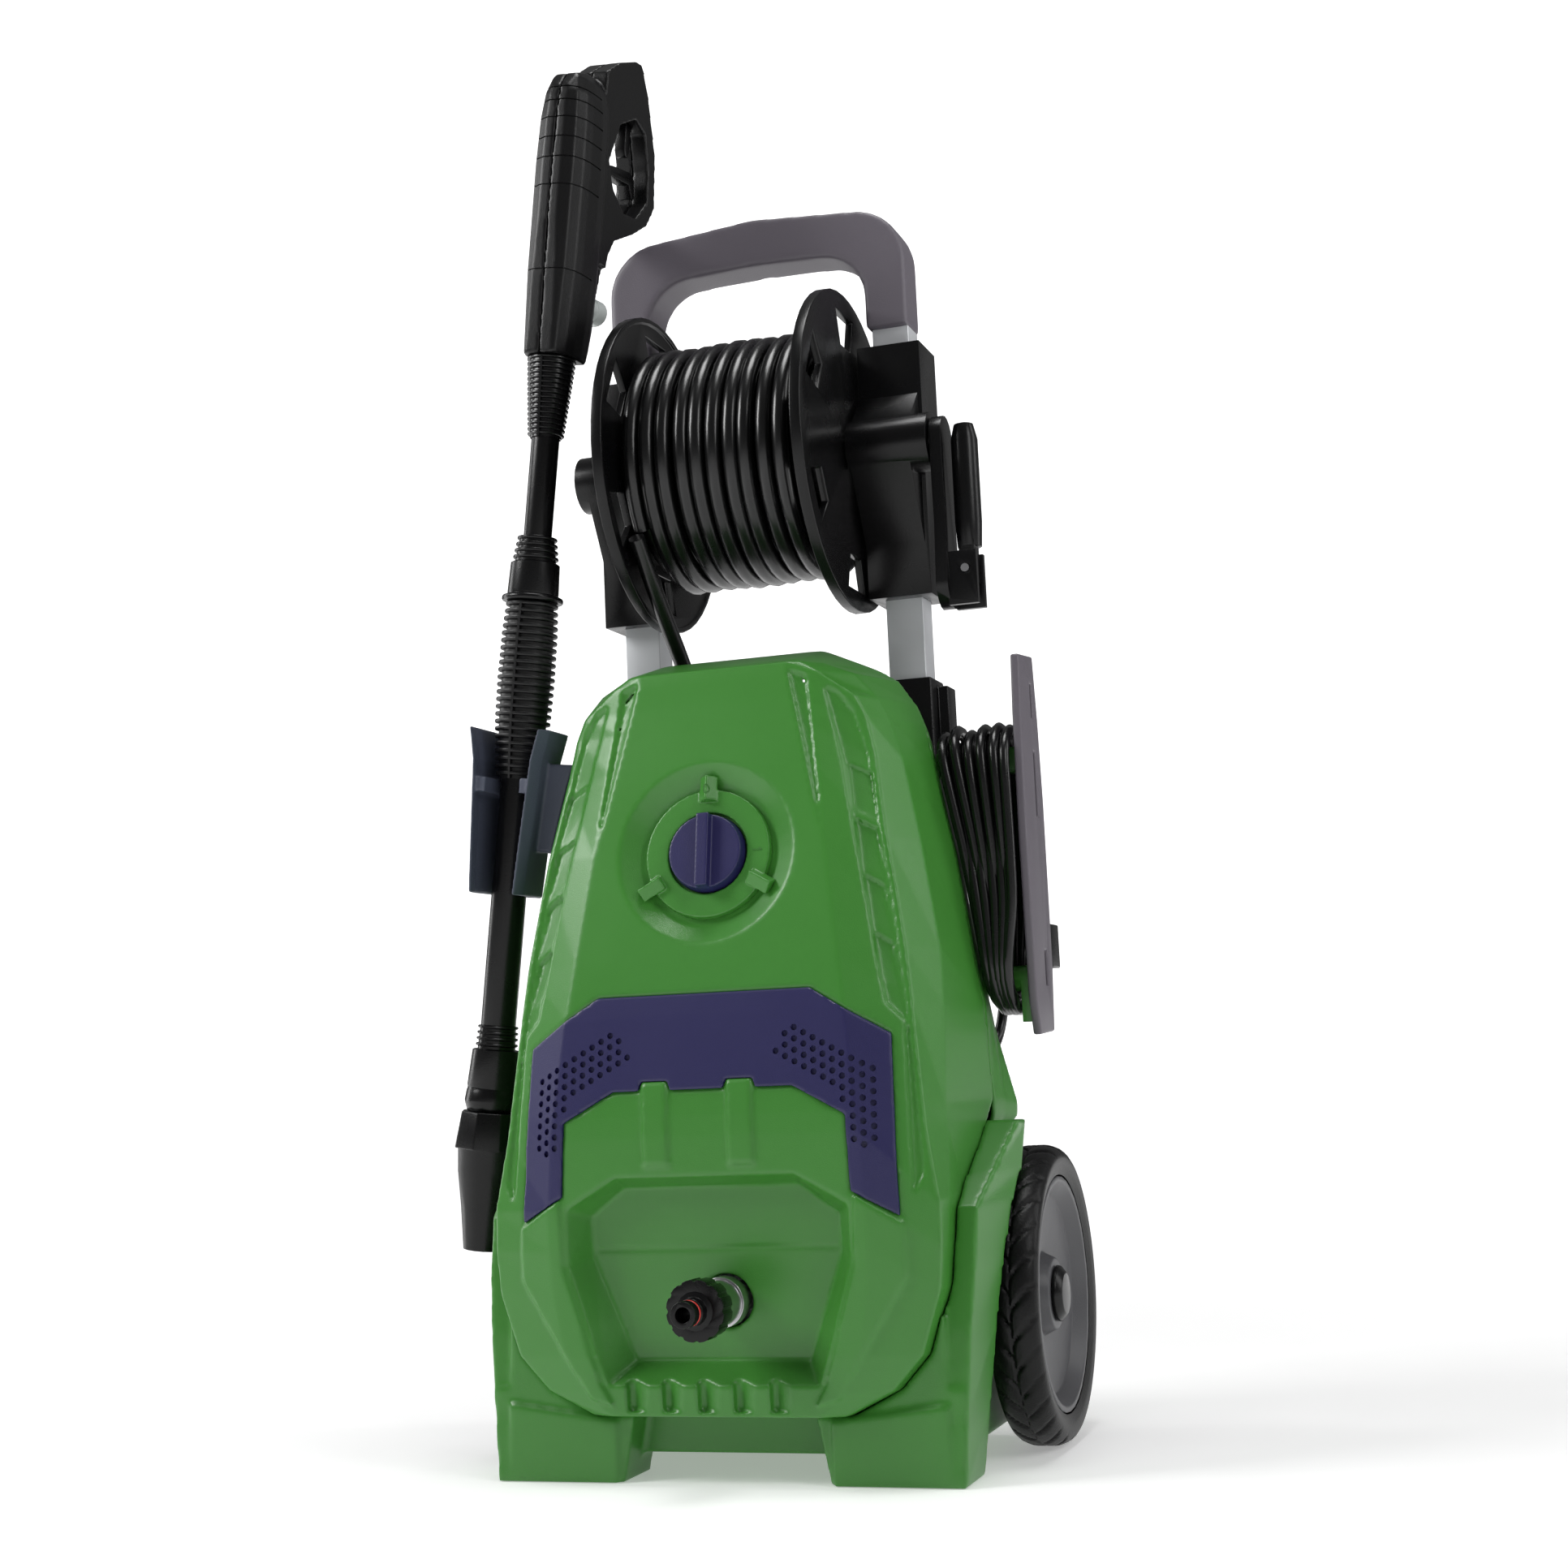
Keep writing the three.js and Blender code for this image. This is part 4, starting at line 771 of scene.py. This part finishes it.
def treaded_tyre(name, side):
    """A tyre with slanting grooves from a zigzag middle line out over each shoulder."""
    edge = [(RIM_R + 0.4, HALF_TYRE - 3), (86, HALF_TYRE - 1.2), (91.5, HALF_TYRE),
            (94.5, HALF_TYRE - 0.7), (96.8, HALF_TYRE - 2.2), (98.6, HALF_TYRE - 4.4),
            (99.9, HALF_TYRE - 7.4), (100.7, HALF_TYRE - 10), (TYRE_R, HALF_TYRE - 12.5),
            (TYRE_R, 3.6), (TYRE_R, 2.2), (TYRE_R, 1.2)]
    loop = edge + [(TYRE_R, 0)] + [(r, -u) for r, u in reversed(edge)]
    mesh = bpy.data.meshes.new(name)
    made = bmesh.new()
    rings = []
    for i in range(TYRE_STEPS):
        t = 2 * math.pi * i / TYRE_STEPS
        ring_verts = []
        for r, u in loop:
            radius = r - tread_depth(r, u, t)
            place = Vector((u, radius * math.cos(t), radius * math.sin(t)))
            ring_verts.append(made.verts.new(place / 1000))
        rings.append(ring_verts)
    loft(made, rings)
    bmesh.ops.recalc_face_normals(made, faces=made.faces)
    made.to_mesh(mesh)
    made.free()
    middle = (TYRE_IN + TYRE_OUT) / 2
    mesh.transform(Matrix.Translation(at(side * middle, WHEEL_Y, WHEEL_Z)))
    shade(mesh, TYRE_SHARP_EDGE)
    word = "right" if side > 0 else "left"
    return add_object(name, mesh, f"{word}_wheel", TYRE, [f"{word}_tyre"])


treaded_tyre("right_treaded_tyre", 1)
treaded_tyre("left_treaded_tyre", -1)

# Pieces that keep their CAD shape, with the width of the rounding on their edges in millimetres.
ROUNDED = (("left_post", 0.8), ("right_post", 0.8), ("left_post_sleeve", 1.5),
           ("right_post_sleeve", 1.5), ("left_reel_bracket", 2), ("right_reel_bracket", 2),
           ("cable_plate", 1.5), ("cable_arm", 2), ("cable_hook", 1.5), ("crank_arm", 1.5),
           ("hose_clip", 1), ("left_reel_flange", 1.2), ("right_reel_flange", 1.2), ("trigger", 1),
           ("trigger_lock", 0.8), ("nozzle_head", 1.0), ("inlet_nut", 0.8), ("inlet_nipple", 0.4),
           ("inlet_pipe", 0.6), ("hose_connector", 0.8), ("left_hub_cap", 0.8),
           ("right_hub_cap", 0.8), ("left_rim", 1), ("right_rim", 1), ("crank_grip", 1),
           ("gun_inlet_cap", 0.6), ("upper_tube", 0.3), ("lower_tube", 0.3), ("cable_gland", 0.6),
           ("reel_drum", 0.8))
for node, width in ROUNDED:
    bevelled(node, width)

# Every CAD node that is still shown gets its paint.
for node, shown in NODES.items():
    if shown.hide_render:
        continue
    shown.data.materials.clear()
    shown.data.materials.append(PAINT[SLOT_OF[node]])

# ------------------------------------------------------------------ floor and light
def glowing(paint, strength):
    """The paint with a white glow of its own."""
    shader = paint.node_tree.nodes["Principled BSDF"]
    shader.inputs["Emission Color"].default_value = (1, 1, 1, 1)
    shader.inputs["Emission Strength"].default_value = strength
    return paint


def glow_outwards(paint, near, far):
    """More glow with distance, so the floor runs into the white: (distance, strength) twice."""
    nodes, links = paint.node_tree.nodes, paint.node_tree.links
    place = nodes.new("ShaderNodeTexCoord")
    away = nodes.new("ShaderNodeVectorMath")
    away.operation = "LENGTH"
    glow = nodes.new("ShaderNodeMapRange")
    glow.interpolation_type = "SMOOTHSTEP"
    glow.inputs["From Min"].default_value = near[0]
    glow.inputs["From Max"].default_value = far[0]
    glow.inputs["To Min"].default_value = near[1]
    glow.inputs["To Max"].default_value = far[1]
    links.new(place.outputs["Object"], away.inputs[0])
    links.new(away.outputs["Value"], glow.inputs["Value"])
    links.new(glow.outputs["Result"], nodes["Principled BSDF"].inputs["Emission Strength"])


FLOOR = glowing(material("floor", (0.9, 0.9, 0.9), 0.45, mottle=0.004), 0.3)
glow_outwards(FLOOR, (0.5, 0.3), (2.4, 0.92))
SURROUND = glowing(material("surround", (0.5, 0.5, 0.5), 0.9, mottle=0.004, specular=0.0), 1.0)

floor_mesh = bmesh.new()
bmesh.ops.create_grid(floor_mesh, x_segments=1, y_segments=1, size=12)
floor = loose_object("floor", floor_mesh)
floor.location = (0, 0, -0.0004)
floor.data.materials.append(FLOOR)
floor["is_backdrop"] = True

# A white dome that the camera sees and that neither lights nor mirrors in the object.
dome_mesh = bmesh.new()
bmesh.ops.create_uvsphere(dome_mesh, u_segments=48, v_segments=24, radius=9)
dome = loose_object("surround", dome_mesh)
dome.data.materials.append(SURROUND)
dome.visible_diffuse = False
dome.visible_glossy = False
dome.visible_transmission = False
dome.visible_shadow = False
dome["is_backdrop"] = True

world = bpy.data.worlds.new("studio")
world.use_nodes = True
world.node_tree.nodes["Background"].inputs["Color"].default_value = (1, 1, 1, 1)
world.node_tree.nodes["Background"].inputs["Strength"].default_value = 0.16
bpy.context.scene.world = world


def soft_light(name, place, target, size, watts):
    """A rectangular lamp that faces the target."""
    data = bpy.data.lights.new(name, "AREA")
    data.shape = "RECTANGLE"
    data.size, data.size_y = size
    data.energy = watts
    lamp = bpy.data.objects.new(name, data)
    bpy.context.scene.collection.objects.link(lamp)
    lamp.location = place
    lamp.rotation_euler = (Vector(target) - Vector(place)).to_track_quat("-Z", "Y").to_euler()


soft_light("key", (-2.1, -1.2, 2.0), (0, 0, 0.5), (0.9, 1.1), 46)
soft_light("right_fill", (2.0, -1.0, 1.7), (0, 0, 0.5), (0.6, 1.2), 13)
soft_light("top", (0.2, -0.1, 2.6), (0, 0, 0.5), (0.9, 0.9), 24)
soft_light("right_edge", (2.2, 0.7, 1.3), (0, 0, 0.45), (0.6, 2.0), 12)
soft_light("left_edge", (-2.3, 0.4, 1.1), (0, 0, 0.45), (0.6, 2.0), 16)
bpy.context.scene.view_settings.view_transform = "Standard"

low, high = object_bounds()
